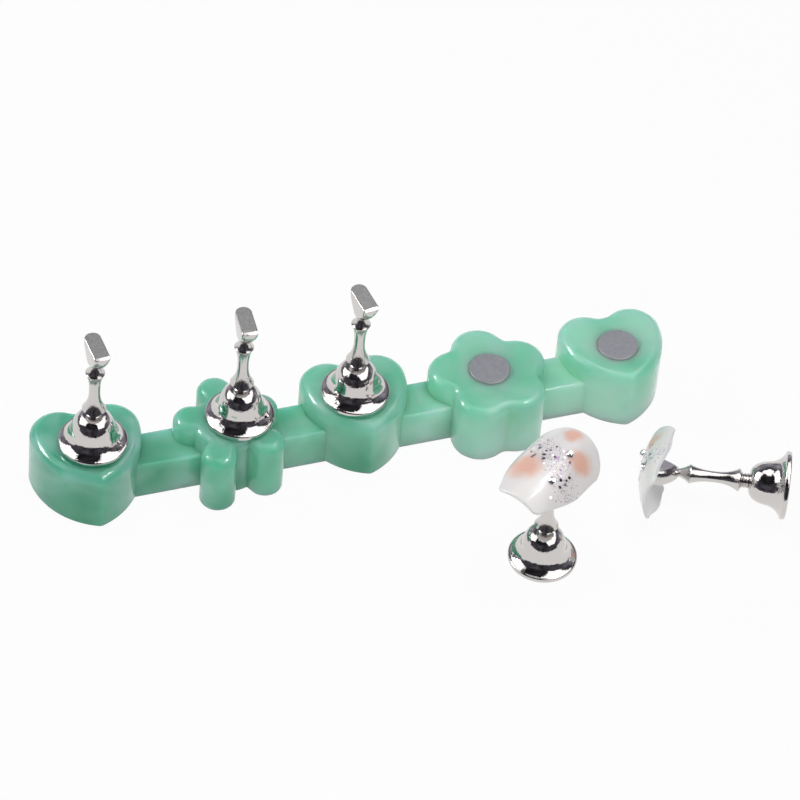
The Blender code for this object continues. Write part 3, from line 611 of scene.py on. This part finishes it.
COLLAR_CHAMFER = 0.0016
COLLAR_SHOULDER = (0.00125, 0.0009)
PLATFORM_NECK_RADIUS = 0.00095
PLATFORM_NECK_TAPER = (0.0008, 0.0005)
PLATFORM_NECK_HEIGHT = 0.0003
PLATFORM_BACK_REACH = 0.0033
PLATFORM_FRONT_REACH = 0.00405
PLATFORM_WIDTH = 0.0032
PLATFORM_DEPTH = 0.0052
PLATFORM_WALL = 0.0003
PLATFORM_BEVEL_LENGTH = 0.0006
PLATFORM_BACK_FULLNESS = 1.2
PLATFORM_FRONT_FULLNESS = 1.7
PLATFORM_BACK_RADIUS = 0.0014
PLATFORM_FRONT_RADIUS = 0.0006
PLATFORM_EDGE_RADIUS = 0.00022
PLATFORM_EDGE_STEPS = 4
PLATFORM_END_CUT = 0.00001
PLATFORM_STATIONS = 56
KEEL_STEPS = 24
MAGNET_RADIUS = 0.004
MAGNET_THICKNESS = 0.002

stem_foot = BELL_HEIGHT + NECK_HEIGHT + STEM_FOOT_CHAMFER
collar_height = stem_foot + STEM_LENGTH
platform_neck = collar_height + COLLAR_CHAMFER
platform_bottom = platform_neck + PLATFORM_NECK_HEIGHT
platform_top = platform_bottom + PLATFORM_DEPTH + PLATFORM_WALL
joints = {joint["name"]: joint for joint in frame["joints"]}


def holder_profile():
    """Points (radius, height) round the turned shape, from the magnet pocket's roof to the platform's neck."""
    pocket_roof = MAGNET_THICKNESS + GLUE_GAP
    pocket_radius = MAGNET_RADIUS + GLUE_GAP
    rim_inner = RIM_RADIUS - RIM_EDGE_RADIUS
    profile = [(0.0, pocket_roof), (pocket_radius, pocket_roof), (pocket_radius, 0.0)]
    profile += arc((rim_inner, RIM_EDGE_RADIUS), RIM_EDGE_RADIUS, -math.pi / 2.0, 0.0, RIM_EDGE_STEPS)
    profile += arc((rim_inner, RIM_THICKNESS - RIM_EDGE_RADIUS), RIM_EDGE_RADIUS, 0.0, math.pi / 2.0, RIM_EDGE_STEPS)
    power = 2.0 / BELL_FULLNESS
    bell_start = math.asin(((FLARE_HEIGHT - BELL_BASE) / (BELL_HEIGHT - BELL_BASE)) ** (1.0 / power))
    bell = []
    for step in range(BELL_STEPS + 1):
        angle = bell_start + (math.pi / 2.0 - bell_start) * step / BELL_STEPS
        radius = NECK_RADIUS + (BELL_RADIUS - NECK_RADIUS) * max(math.cos(angle), 0.0) ** power
        bell.append((radius, BELL_BASE + (BELL_HEIGHT - BELL_BASE) * math.sin(angle) ** power))
    start = math.radians(FLARE_START)
    end = math.radians(FLARE_END)
    for step in range(FLARE_STEPS):
        angle = start + (end - start) * step / FLARE_STEPS
        spread = (math.sin(end) - math.sin(angle)) / (math.sin(end) - math.sin(start))
        sink = (math.cos(angle) - math.cos(end)) / (math.cos(start) - math.cos(end))
        radius = bell[0][0] + (rim_inner - bell[0][0]) * spread
        profile.append((radius, FLARE_HEIGHT - (FLARE_HEIGHT - RIM_THICKNESS) * sink))
    profile += bell
    ring_height = NECK_HEIGHT / NECK_RINGS
    for ring in range(NECK_RINGS):
        for step in range(1, NECK_RING_STEPS + 1):
            swell = math.sin(math.pi * step / NECK_RING_STEPS)
            height = BELL_HEIGHT + ring_height * (ring + step / NECK_RING_STEPS)
            profile.append((NECK_RADIUS + (NECK_RING_RADIUS - NECK_RADIUS) * swell, height))
    waist = stem_foot + STEM_LENGTH * STEM_WAIST_SHARE
    for step in range(STEM_STEPS + 1):
        height = stem_foot + STEM_LENGTH * step / STEM_STEPS
        end_radius, end = (STEM_FOOT_RADIUS, stem_foot) if height < waist else (COLLAR_RADIUS, collar_height)
        swell = ((height - waist) / (end - waist)) ** STEM_SWELL
        profile.append((STEM_WAIST_RADIUS + (end_radius - STEM_WAIST_RADIUS) * swell, height))
    profile.pop()
    ring_edge = (COLLAR_RADIUS - COLLAR_EDGE_RADIUS, collar_height)
    profile += arc(ring_edge, COLLAR_EDGE_RADIUS, 0.0, COLLAR_EDGE_TURN, COLLAR_EDGE_STEPS)
    profile.append((COLLAR_SHOULDER[0], collar_height + COLLAR_SHOULDER[1]))
    profile.append((PLATFORM_NECK_RADIUS, platform_neck))
    profile.append((PLATFORM_NECK_TAPER[0], platform_neck + PLATFORM_NECK_TAPER[1]))
    profile.append((PLATFORM_NECK_TAPER[0], platform_bottom + PLATFORM_WIDTH / 2.0))
    profile.append((0.0, platform_bottom + PLATFORM_WIDTH / 2.0))
    return profile


def turned(profile, steps):
    """A solid of revolution about Z, from points (radius, height) that start and end on the axis."""
    shape = bmesh.new()
    verts = [shape.verts.new((radius, 0.0, height)) for radius, height in profile]
    edges = [shape.edges.new(pair) for pair in zip(verts, verts[1:])]
    bmesh.ops.spin(
        shape, geom=verts + edges, cent=(0.0, 0.0, 0.0), axis=(0.0, 0.0, 1.0),
        angle=math.tau, steps=steps, use_merge=True, use_duplicate=False,
    )
    bmesh.ops.remove_doubles(shape, verts=shape.verts, dist=MERGE_DISTANCE)
    return mesh_from(shape, "turned")


def keel_section(y):
    """One cross-section of the platform at y: flat top with rounded edges, upright sides and a round keel."""
    back_y = PLATFORM_BACK_REACH - PLATFORM_BACK_RADIUS
    front_y = PLATFORM_FRONT_RADIUS - PLATFORM_FRONT_REACH
    half = PLATFORM_WIDTH / 2.0
    if y > back_y:
        half += math.sqrt(max(PLATFORM_BACK_RADIUS ** 2 - (y - back_y) ** 2, 0.0)) - PLATFORM_BACK_RADIUS
    elif y < front_y:
        half += math.sqrt(max(PLATFORM_FRONT_RADIUS ** 2 - (front_y - y) ** 2, 0.0)) - PLATFORM_FRONT_RADIUS
    reach, fullness = (PLATFORM_BACK_REACH, PLATFORM_BACK_FULLNESS)
    if y < 0.0:
        reach, fullness = (PLATFORM_FRONT_REACH, PLATFORM_FRONT_FULLNESS)
    depth = PLATFORM_DEPTH * max(1.0 - (abs(y) / reach) ** fullness, 0.0) ** (1.0 / fullness)
    from_front = min((y + PLATFORM_FRONT_REACH) / PLATFORM_BEVEL_LENGTH, 1.0)
    top = platform_top - PLATFORM_WALL * (1.0 - from_front)
    wall = platform_top - PLATFORM_WALL
    keel = min(half, depth)
    edge = min(PLATFORM_EDGE_RADIUS, half / 2.0, (top - wall + depth - keel) / 2.0)
    section = arc((half - edge, top - edge), edge, 0.0, math.pi / 2.0, PLATFORM_EDGE_STEPS)
    section += arc((edge - half, top - edge), edge, math.pi / 2.0, math.pi, PLATFORM_EDGE_STEPS)
    for step in range(KEEL_STEPS + 1):
        angle = math.pi + math.pi * step / KEEL_STEPS
        section.append((half * math.cos(angle), wall - depth + keel * (1.0 + math.sin(angle))))
    return [(x, y, z) for x, z in section]


def platform_mesh():
    """The half-moon plate, lofted from front to back through its cross-sections."""
    centre = (PLATFORM_BACK_REACH - PLATFORM_FRONT_REACH) / 2.0
    span = (PLATFORM_BACK_REACH + PLATFORM_FRONT_REACH) / 2.0 - PLATFORM_END_CUT
    angles = [math.pi * station / PLATFORM_STATIONS for station in range(PLATFORM_STATIONS + 1)]
    return lofted([keel_section(centre - span * math.cos(angle)) for angle in angles], "platform")


def holder_matrix(number):
    """Where a holder's foot is and how it is turned, from its magnet and, for the lying one, from its own axis."""
    axis = Vector(joints["peel_nail_5"]["axis"]) if number == LYING_HOLDER else Vector((0.0, 0.0, 1.0))
    sole = middle("foot_magnet_%d" % number) - axis * MAGNET_THICKNESS / 2.0
    heading = math.atan2(axis.y, axis.x)
    lean = math.acos(min(axis.z, 1.0))
    turn = Matrix.Rotation(heading, 4, "Z") @ Matrix.Rotation(lean, 4, "Y")
    return Matrix.Translation(sole) @ turn @ Matrix.Rotation(math.radians(HOLDER_TURNS[number]), 4, "Z")


# Bright nickel and chrome plating over a hand-polished zinc casting: a near mirror whose small waves break up the
# edges of what it reflects. The slim stem is less well polished than the bell, so its reflections are softer. Real
# polishing marks are finer than shows, so they are drawn at 0.4 mm.
POLISH_WAVE = 0.0012
POLISH_MARK = 0.0004
plating, plating_shader = new_finish("bright_plated_casting", {"Base Color": linear("#ccc8c6"), "Metallic": 1.0})
plating_place = add(plating, "TexCoord").outputs["Object"]
holder_place = add(plating, "Attribute", {"attribute_name": "holder_place"}).outputs["Vector"]
holder_height = add(plating, "SeparateXYZ", links={0: holder_place}).outputs["Z"]
buffing = add(plating, "MapRange", {"From Min": BELL_HEIGHT, "From Max": stem_foot, "To Min": 0.04, "To Max": 0.16},
              {"Value": holder_height})
waves = add(plating, "TexNoise", {"Scale": 1.0 / POLISH_WAVE, "Detail": 1.0}, {"Vector": plating_place})
marks = add(plating, "TexNoise", {"Scale": 1.0 / POLISH_MARK, "Detail": 3.0}, {"Vector": plating_place})
wave_bump = add(plating, "Bump", {"Strength": 1.0, "Distance": 0.00002}, {"Height": waves})
mark_bump = add(plating, "Bump", {"Strength": 1.0, "Distance": 0.000018}, {"Height": marks, "Normal": wave_bump})
set_up(plating_shader, links={"Roughness": buffing, "Normal": mark_bump})

# The same plating left as cast and brushed: grey, with fine pits, drawn at 0.3 mm so that they show.
PIT_SIZE = 0.0003
brushed, brushed_shader = new_finish("brushed_platform_top", {"Metallic": 1.0, "Roughness": 0.42})
brushed_place = add(brushed, "TexCoord").outputs["Object"]
pits = add(brushed, "TexNoise", {"Scale": 1.0 / PIT_SIZE, "Detail": 4.0}, {"Vector": brushed_place})
pit_tone = add(brushed, "Mix", {"data_type": "RGBA", "A": linear("#7b7c7a"), "B": linear("#c8c8c5")}, {"Factor": pits})
pit_bump = add(brushed, "Bump", {"Strength": 0.5, "Distance": 0.00004}, {"Height": pits})
set_up(brushed_shader, links={"Base Color": pit_tone, "Normal": pit_bump})


def keep_places(mesh, name):
    """Keeps each point's own place in an attribute, so that a finish can follow it after the piece is moved."""
    places = mesh.attributes.new(name, "FLOAT_VECTOR", "POINT")
    for vert, item in zip(mesh.vertices, places.data):
        item.vector = vert.co


FLAT_NORMAL = 0.99
top_level = platform_top - PLATFORM_EDGE_RADIUS / 2.0
holder_shape = combine(turned(holder_profile(), HOLDER_STEPS), [(platform_mesh(), "UNION")])
keep_places(holder_shape, "holder_place")
top_faces = [face.normal.z > FLAT_NORMAL and face.center.z > top_level for face in holder_shape.polygons]
for number in HOLDER_TURNS:
    casting = holder_shape.copy()
    casting.transform(holder_matrix(number))
    body = "holder_%d" % number
    finish_piece("plated_" + body, casting, [plating, brushed], body, [body], top_faces)
    borders = {}
    for face in casting.polygons:
        for key in face.edge_keys:
            borders.setdefault(key, set()).add(face.material_index)
    for edge in casting.edges:
        if len(borders[edge.key]) > 1:
            edge.use_edge_sharp = True


# Foot magnets
# Nickel-plated disc magnets glued into the soles, level with the rim. They show only under the lying holder.
MAGNET_EDGE_RADIUS = 0.00015

# Bright nickel plate: a soft mirror, dulled here and there by fine scuffs, which are drawn as coarse as the pits.
nickel, nickel_shader = new_finish("nickel_plated_magnet", {"Metallic": 1.0, "Base Color": linear("#c6c2ba")})
nickel_place = add(nickel, "TexCoord").outputs["Object"]
scuffs = add(nickel, "TexNoise", {"Scale": 1.0 / PIT_SIZE, "Detail": 3.0}, {"Vector": nickel_place})
scuff_rough = add(nickel, "MapRange", {"To Min": 0.15, "To Max": 0.35}, {"Value": scuffs})
set_up(nickel_shader, links={"Roughness": scuff_rough})

for number in HOLDER_TURNS:
    magnet = raised(circle(MAGNET_RADIUS), MAGNET_THICKNESS, MAGNET_EDGE_RADIUS, both_ends=True)
    magnet.transform(holder_matrix(number))
    body = "holder_%d" % number if number == LYING_HOLDER else "foot_%d" % number
    finish_piece("magnet_%d" % number, magnet, [nickel], body, ["foot_magnet_%d" % number])


# Nail tips
# Moulded practice tips in milky plastic, arched across and bowed along, with a square-cut free edge. Each is painted
# with soft peach clouds and loose glitter under a clear gel coat.
NAIL_LENGTH = 0.0211
NAIL_WIDTH = 0.0144
NAIL_TIP_WIDTH = 0.0096
NAIL_THICKNESS = 0.0008
NAIL_ARCH_RADIUS = 0.00775
NAIL_SAG = 0.00127
NAIL_ROUND_LENGTH = 0.0053
NAIL_WIDEST_SHARE = 0.66
NAIL_CORNER_CUT = 0.0007
NAIL_CORNER_SHARE = 0.26
NAIL_STEPS = 64
NAIL_OFFSETS = {4: (0.0003, -0.0014), 5: (0.0009, -0.0023)}
NAIL_TURNS = {4: (3.0, 5.0, 0.0), 5: (-2.5, 2.3, -1.5)}
UNDER_SIDE_NORMAL = 0.25


def nail_point(along, across):
    """Crown surface of the nail tip: shares from -1 to 1 along (free edge at -1) and across."""
    half_length = NAIL_LENGTH / 2.0
    round_start = half_length - NAIL_ROUND_LENGTH
    end = round_start + NAIL_ROUND_LENGTH * math.sqrt(max(1.0 - across ** 2, 0.0))
    run = (along + 1.0) / 2.0
    past = max(abs(across) - 1.0 + NAIL_CORNER_SHARE, 0.0) / NAIL_CORNER_SHARE
    free_edge = NAIL_CORNER_CUT * past ** 2 - half_length
    y = free_edge + (end - free_edge) * run
    widen = min(run / NAIL_WIDEST_SHARE, 1.0)
    half = NAIL_TIP_WIDTH / 2.0 + (NAIL_WIDTH - NAIL_TIP_WIDTH) / 2.0 * math.sin(widen * math.pi / 2.0)
    x = across * half
    drop = NAIL_ARCH_RADIUS - math.sqrt(max(NAIL_ARCH_RADIUS ** 2 - x ** 2, 0.0))
    drop += NAIL_SAG * (y / half_length) ** 2
    return Vector((x, y, -drop))


def crown_normal(spot):
    """The way straight out of the crown surface at one of its points."""
    slope_x = spot.x / math.sqrt(NAIL_ARCH_RADIUS ** 2 - spot.x ** 2)
    slope_y = 2.0 * NAIL_SAG * spot.y / (NAIL_LENGTH / 2.0) ** 2
    return Vector((slope_x, slope_y, 1.0)).normalized()


def nail_matrix(number):
    """Where a nail tip's crown is: its turns are known, and its height on the holder is read from the frame."""
    across, along = NAIL_OFFSETS[number]
    pitch, lean, yaw = (math.radians(turn) for turn in NAIL_TURNS[number])
    turns = Matrix.Rotation(yaw, 4, "Z") @ Matrix.Rotation(pitch, 4, "X") @ Matrix.Rotation(lean, 4, "Y")
    to_crown = (holder_matrix(number) @ Matrix.Translation((across, along, 0.0)) @ turns).inverted()
    highest = max((to_crown @ vert.co).z for vert in frame["nodes"]["nail_tip_%d" % number].data.vertices)
    rise = highest / turns.inverted().col[2].z
    return holder_matrix(number) @ Matrix.Translation((across, along, rise)) @ turns


# Milky styrene under clear gel: light goes in a little, and the gel gives a sharp gloss. The peach clouds and the
# band of glitter follow the nail's own places, kept in an attribute. Real glitter has grains of about 0.1 mm, too fine
# to show, so it is drawn about twice as coarse.
GLITTER_GRAIN = 0.00028
GRAIN_CORE_SHARE = 0.42
GRAIN_METAL = 0.3
GRAIN_TINTS = ((0.0, "#5c4d63"), (0.3, "#a58aa8"), (0.5, "#e9e2ea"), (0.7, "#b99aa4"), (1.0, "#8d93a6"))
BAND_SLOPE = -0.45
BAND_MIDDLE = 0.0005
BAND_REACH = (0.0036, 0.0008)
CLOUD_EDGE = 0.0022
CLOUD_SMEAR = 0.002
CLOUD_FADE = (1.15, 0.35)
PEACH_CLOUDS = (((-0.0035, -0.0035), 0.0038), ((0.0034, 0.0042), 0.003), ((-0.0012, 0.0082), 0.0022))


def set_tints(ramp, tints):
    """Gives a colour ramp its stops, from pairs of position and colour that start at 0."""
    for position, tint in tints:
        stop = ramp.elements.new(position) if position > 0.0 else ramp.elements[0]
        stop.color = linear(tint)


gel, gel_shader = new_finish("gel_coated_milky_plastic", {
    "Roughness": 0.35, "Coat Weight": 0.55, "Coat Roughness": 0.05,
    "Subsurface Weight": 1.0, "Subsurface Radius": (1.0, 0.9, 0.85), "Subsurface Scale": 0.001,
})
nail_place = add(gel, "Attribute", {"attribute_name": "nail_place"}).outputs["Vector"]
smear = add(gel, "TexNoise", {"Scale": 1.0 / CLOUD_EDGE, "Detail": 2.0}, {"Vector": nail_place})
smeared = add(gel, "VectorMath", {"operation": "MULTIPLY_ADD", 1: (CLOUD_SMEAR, CLOUD_SMEAR, 0.0)},
              {0: smear.outputs["Color"], 2: nail_place})
peach = None
for (cloud_x, cloud_y), cloud_radius in PEACH_CLOUDS:
    centre = (cloud_x + CLOUD_SMEAR / 2.0, cloud_y + CLOUD_SMEAR / 2.0, 0.0)
    flat = add(gel, "VectorMath", {"operation": "MULTIPLY", 1: (1.0, 1.0, 0.0)}, {0: smeared})
    distance = add(gel, "VectorMath", {"operation": "DISTANCE", 1: centre}, {0: flat})
    cloud = add(gel, "MapRange",
                {"interpolation_type": "SMOOTHSTEP", "From Min": cloud_radius * CLOUD_FADE[0],
                 "From Max": cloud_radius * CLOUD_FADE[1], "To Max": 0.9}, {"Value": distance})
    if peach is not None:
        cloud = add(gel, "Math", {"operation": "MAXIMUM"}, {0: peach, 1: cloud})
    peach = cloud
milky = add(gel, "Mix", {"data_type": "RGBA", "A": linear("#fff1ef"), "B": linear("#f7c5b0")}, {"Factor": peach})
band_place = add(gel, "SeparateXYZ", links={0: nail_place})
band_line = add(gel, "Math", {"operation": "MULTIPLY_ADD", 1: BAND_SLOPE, 2: BAND_MIDDLE}, {0: band_place})
band_offset = add(gel, "Math", {"operation": "SUBTRACT"}, {0: band_place.outputs["Y"], 1: band_line})
band_distance = add(gel, "Math", {"operation": "ABSOLUTE"}, {0: band_offset})
band = add(gel, "MapRange", {"From Min": BAND_REACH[0], "From Max": BAND_REACH[1], "To Max": 0.62},
           {"Value": band_distance})
grains = add(gel, "TexVoronoi", {"Scale": 1.0 / GLITTER_GRAIN}, {"Vector": nail_place})
grain_draws = add(gel, "SeparateColor", links={0: grains.outputs["Color"]})
grain_here = add(gel, "Math", {"operation": "LESS_THAN"}, {0: grain_draws, 1: band})
grain_core = add(gel, "Math", {"operation": "LESS_THAN", 1: GRAIN_CORE_SHARE}, {0: grains})
grain_mask = add(gel, "Math", {"operation": "MULTIPLY"}, {0: grain_here, 1: grain_core})
grain_tint = add(gel, "ValToRGB", links={0: grain_draws.outputs[1]})
set_tints(grain_tint.color_ramp, GRAIN_TINTS)
painted = add(gel, "Mix", {"data_type": "RGBA"}, {"Factor": grain_mask, "A": milky, "B": grain_tint})
grain_metal = add(gel, "Math", {"operation": "MULTIPLY", 1: GRAIN_METAL}, {0: grain_mask})
set_up(gel_shader, links={"Base Color": painted, "Metallic": grain_metal})

# The bare plastic of edge and under side: milky and satin, with faint flow marks.
milky_plastic, milky_shader = new_finish("moulded_milky_plastic", {
    "Roughness": 0.3, "Subsurface Weight": 1.0, "Subsurface Radius": (1.0, 0.95, 0.95), "Subsurface Scale": 0.004,
})
flow_place = add(milky_plastic, "TexCoord").outputs["Object"]
flow_marks = add(milky_plastic, "TexNoise", {"Scale": 1.0 / CLOUD_EDGE, "Detail": 2.0}, {"Vector": flow_place})
flow_tone = add(milky_plastic, "Mix", {"data_type": "RGBA", "A": linear("#f4f1f0"), "B": linear("#fcf9f7")},
                {"Factor": flow_marks})
set_up(milky_shader, links={"Base Color": flow_tone})

grid = {"x_segments": NAIL_STEPS, "y_segments": NAIL_STEPS, "size": 1.0}
for number in NAIL_OFFSETS:
    shape = bmesh.new()
    upper = bmesh.ops.create_grid(shape, **grid)["verts"]
    lower = bmesh.ops.create_grid(shape, **grid)["verts"]
    for vert in upper:
        vert.co = nail_point(math.sin(vert.co.y * math.pi / 2.0), math.sin(vert.co.x * math.pi / 2.0))
    border = [vert.co.copy() for vert in upper if vert.is_boundary]
    rim = KDTree(len(border))
    for index, spot in enumerate(border):
        rim.insert(spot, index)
    rim.balance()
    half_thickness = NAIL_THICKNESS / 2.0
    for over, under in zip(upper, lower):
        spot = over.co.copy()
        short = max(half_thickness - rim.find(spot)[2], 0.0)
        depth = half_thickness - math.sqrt(half_thickness ** 2 - short ** 2)
        over.co = spot - crown_normal(spot) * depth
        under.co = spot - crown_normal(spot) * (NAIL_THICKNESS - depth)
    bmesh.ops.remove_doubles(shape, verts=shape.verts, dist=MERGE_DISTANCE / 10.0)
    nail = mesh_from(shape, "nail_tip")
    keep_places(nail, "nail_place")
    bare_faces = [face.normal.z < UNDER_SIDE_NORMAL for face in nail.polygons]
    nail.transform(nail_matrix(number))
    finish_piece("painted_nail_%d" % number, nail, [gel, milky_plastic], "nail_%d" % number,
                 ["nail_tip_%d" % number], bare_faces)


# Sequins
# Loose hexagonal foil flakes in silver and lilac, laid along the glitter and held by the gel coat.
SEQUIN_COUNT = 34
SEQUIN_SIZES = (0.0002, 0.00038)
SEQUIN_THICKNESS = 0.00004
SEQUIN_LIFT = 0.00002
SEQUIN_SPREAD = 0.0022
SEQUIN_PLACES = (0.6, 0.75)
SEQUIN_TILT = 0.12

# Metallised film with a faint play of colours: each flake is a small mirror of its own tint.
FOIL_TINTS = ((0.0, "#f4f2f5"), (0.35, "#d9cfe0"), (0.6, "#c09ab0"), (0.8, "#8f86a8"), (1.0, "#efe9ee"))
foil, foil_shader = new_finish("iridescent_foil", {"Metallic": 1.0, "Roughness": 0.12})
flake_tint = add(foil, "Attribute", {"attribute_name": "flake_tint"}).outputs["Fac"]
foil_tint = add(foil, "ValToRGB", links={0: flake_tint})
set_tints(foil_tint.color_ramp, FOIL_TINTS)
set_up(foil_shader, links={"Base Color": foil_tint})


def on_nail(along, across):
    """A matrix that stands on the crown at the given shares, with Z straight out."""
    spot = nail_point(along, across)
    return Matrix.Translation(spot) @ crown_normal(spot).to_track_quat("Z", "Y").to_matrix().to_4x4()


for number in NAIL_OFFSETS:
    draw = random.Random(number)
    shape = bmesh.new()
    tint_layer = shape.faces.layers.float.new("flake_tint")
    placed = 0
    while placed < SEQUIN_COUNT:
        along = draw.uniform(-SEQUIN_PLACES[0], SEQUIN_PLACES[0])
        across = draw.uniform(-SEQUIN_PLACES[1], SEQUIN_PLACES[1])
        spot = nail_point(along, across)
        if abs(spot.y - BAND_SLOPE * spot.x - BAND_MIDDLE) > abs(draw.gauss(0.0, 1.0)) * SEQUIN_SPREAD:
            continue
        radius = draw.uniform(*SEQUIN_SIZES)
        spin = Matrix.Rotation(draw.uniform(0.0, math.tau), 4, "Z")
        tilt = Matrix.Rotation(draw.uniform(-SEQUIN_TILT, SEQUIN_TILT), 4, "X")
        lift = Matrix.Translation((0.0, 0.0, SEQUIN_LIFT + SEQUIN_THICKNESS / 2.0))
        made = bmesh.ops.create_cone(
            shape, cap_ends=True, segments=6, radius1=radius, radius2=radius, depth=SEQUIN_THICKNESS,
            matrix=on_nail(along, across) @ lift @ spin @ tilt)
        tint = draw.random()
        for face in {face for vert in made["verts"] for face in vert.link_faces}:
            face[tint_layer] = tint
        placed += 1
    flakes = mesh_from(shape, "sequins")
    flakes.transform(nail_matrix(number))
    finish_piece("sequins_%d" % number, flakes, [foil], "nail_%d" % number, [])


# Stones
# Flat-backed crystal stones with foil behind the glass, so their facets look like small mirrors.
STONE_RADIUS = 0.00085
STONE_HEIGHT = 0.0007
STONE_GIRDLE = 0.0002
STONE_SEAT_GAP = 0.0001
STONE_PLACE_SHARES = {"a": (0.36, 0.2), "b": (-0.3, 0.4)}
STONE_CROWN = STONE_GIRDLE + (STONE_HEIGHT - STONE_GIRDLE) * 0.66
# Rings of facet corners: radius, height, count and turn.
STONE_RINGS = (
    (STONE_RADIUS, 0.0, 16, 0.0), (STONE_RADIUS, STONE_GIRDLE, 16, 0.0),
    (STONE_RADIUS * 0.74, STONE_CROWN, 8, math.pi / 8.0), (STONE_RADIUS * 0.5, STONE_HEIGHT, 8, 0.0),
)
FACET_ANGLE = math.radians(1.0)

# Foil-backed glass: it flashes like a mirror, a little bluer in some facets than in others.
crystal, crystal_shader = new_finish("foil_backed_crystal", {"Metallic": 0.9, "Roughness": 0.03})
crystal_place = add(crystal, "TexCoord").outputs["Object"]
crystal_cells = add(crystal, "TexVoronoi", {"Scale": 1.0 / STONE_RADIUS}, {"Vector": crystal_place})
crystal_tint = add(crystal, "Mix", {"data_type": "RGBA", "A": linear("#dfe3ea"), "B": linear("#ffffff")},
                   {"Factor": crystal_cells})
set_up(crystal_shader, links={"Base Color": crystal_tint})

for number in NAIL_OFFSETS:
    for letter, (along, across) in STONE_PLACE_SHARES.items():
        shape = bmesh.new()
        for ring_radius, ring_height, ring_count, ring_turn in STONE_RINGS:
            for step in range(ring_count):
                angle = ring_turn + math.tau * step / ring_count
                shape.verts.new((ring_radius * math.cos(angle), ring_radius * math.sin(angle), ring_height))
        bmesh.ops.convex_hull(shape, input=shape.verts)
        bmesh.ops.dissolve_limit(shape, angle_limit=FACET_ANGLE, verts=shape.verts, edges=shape.edges)
        stone = mesh_from(shape, "stone")
        stone.transform(nail_matrix(number) @ on_nail(along, across) @ Matrix.Translation((0.0, 0.0, STONE_SEAT_GAP)))
        name = "%d%s" % (number, letter)
        finish_piece("crystal_" + name, stone, [crystal], "nail_%d" % number, ["stone_" + name])
        stone.shade_flat()


# Putty
# Soft reusable putty, pressed between platform and nail tip so that it bulges a little at its edge.
SOFT_EDGE_LEVELS = 2

# White rubbery putty: dead matt, with a fine chalky grain that is drawn at 0.4 mm so that it shows.
PUTTY_GRAIN = 0.0004
putty, putty_shader = new_finish("white_putty", {"Roughness": 0.75})
putty_place = add(putty, "TexCoord").outputs["Object"]
putty_grain = add(putty, "TexNoise", {"Scale": 1.0 / PUTTY_GRAIN, "Detail": 3.0}, {"Vector": putty_place})
putty_tone = add(putty, "Mix", {"data_type": "RGBA", "A": linear("#dfe4e6"), "B": linear("#eef1f2")},
                 {"Factor": putty_grain})
putty_bump = add(putty, "Bump", {"Strength": 0.4, "Distance": 0.00004}, {"Height": putty_grain})
set_up(putty_shader, links={"Base Color": putty_tone, "Normal": putty_bump})

for number in NAIL_OFFSETS:
    node = "putty_pad_%d" % number
    shape = bmesh.new()
    shape.from_mesh(frame["nodes"][node].data)
    bmesh.ops.remove_doubles(shape, verts=shape.verts, dist=MERGE_DISTANCE)
    pad = mesh_from(shape, "putty")
    piece = finish_piece("pressed_putty_%d" % number, pad, [putty], "holder_%d" % number, [node])
    rounding = piece.modifiers.new("soft_edge", "SUBSURF")
    rounding.levels = SOFT_EDGE_LEVELS
    rounding.render_levels = SOFT_EDGE_LEVELS
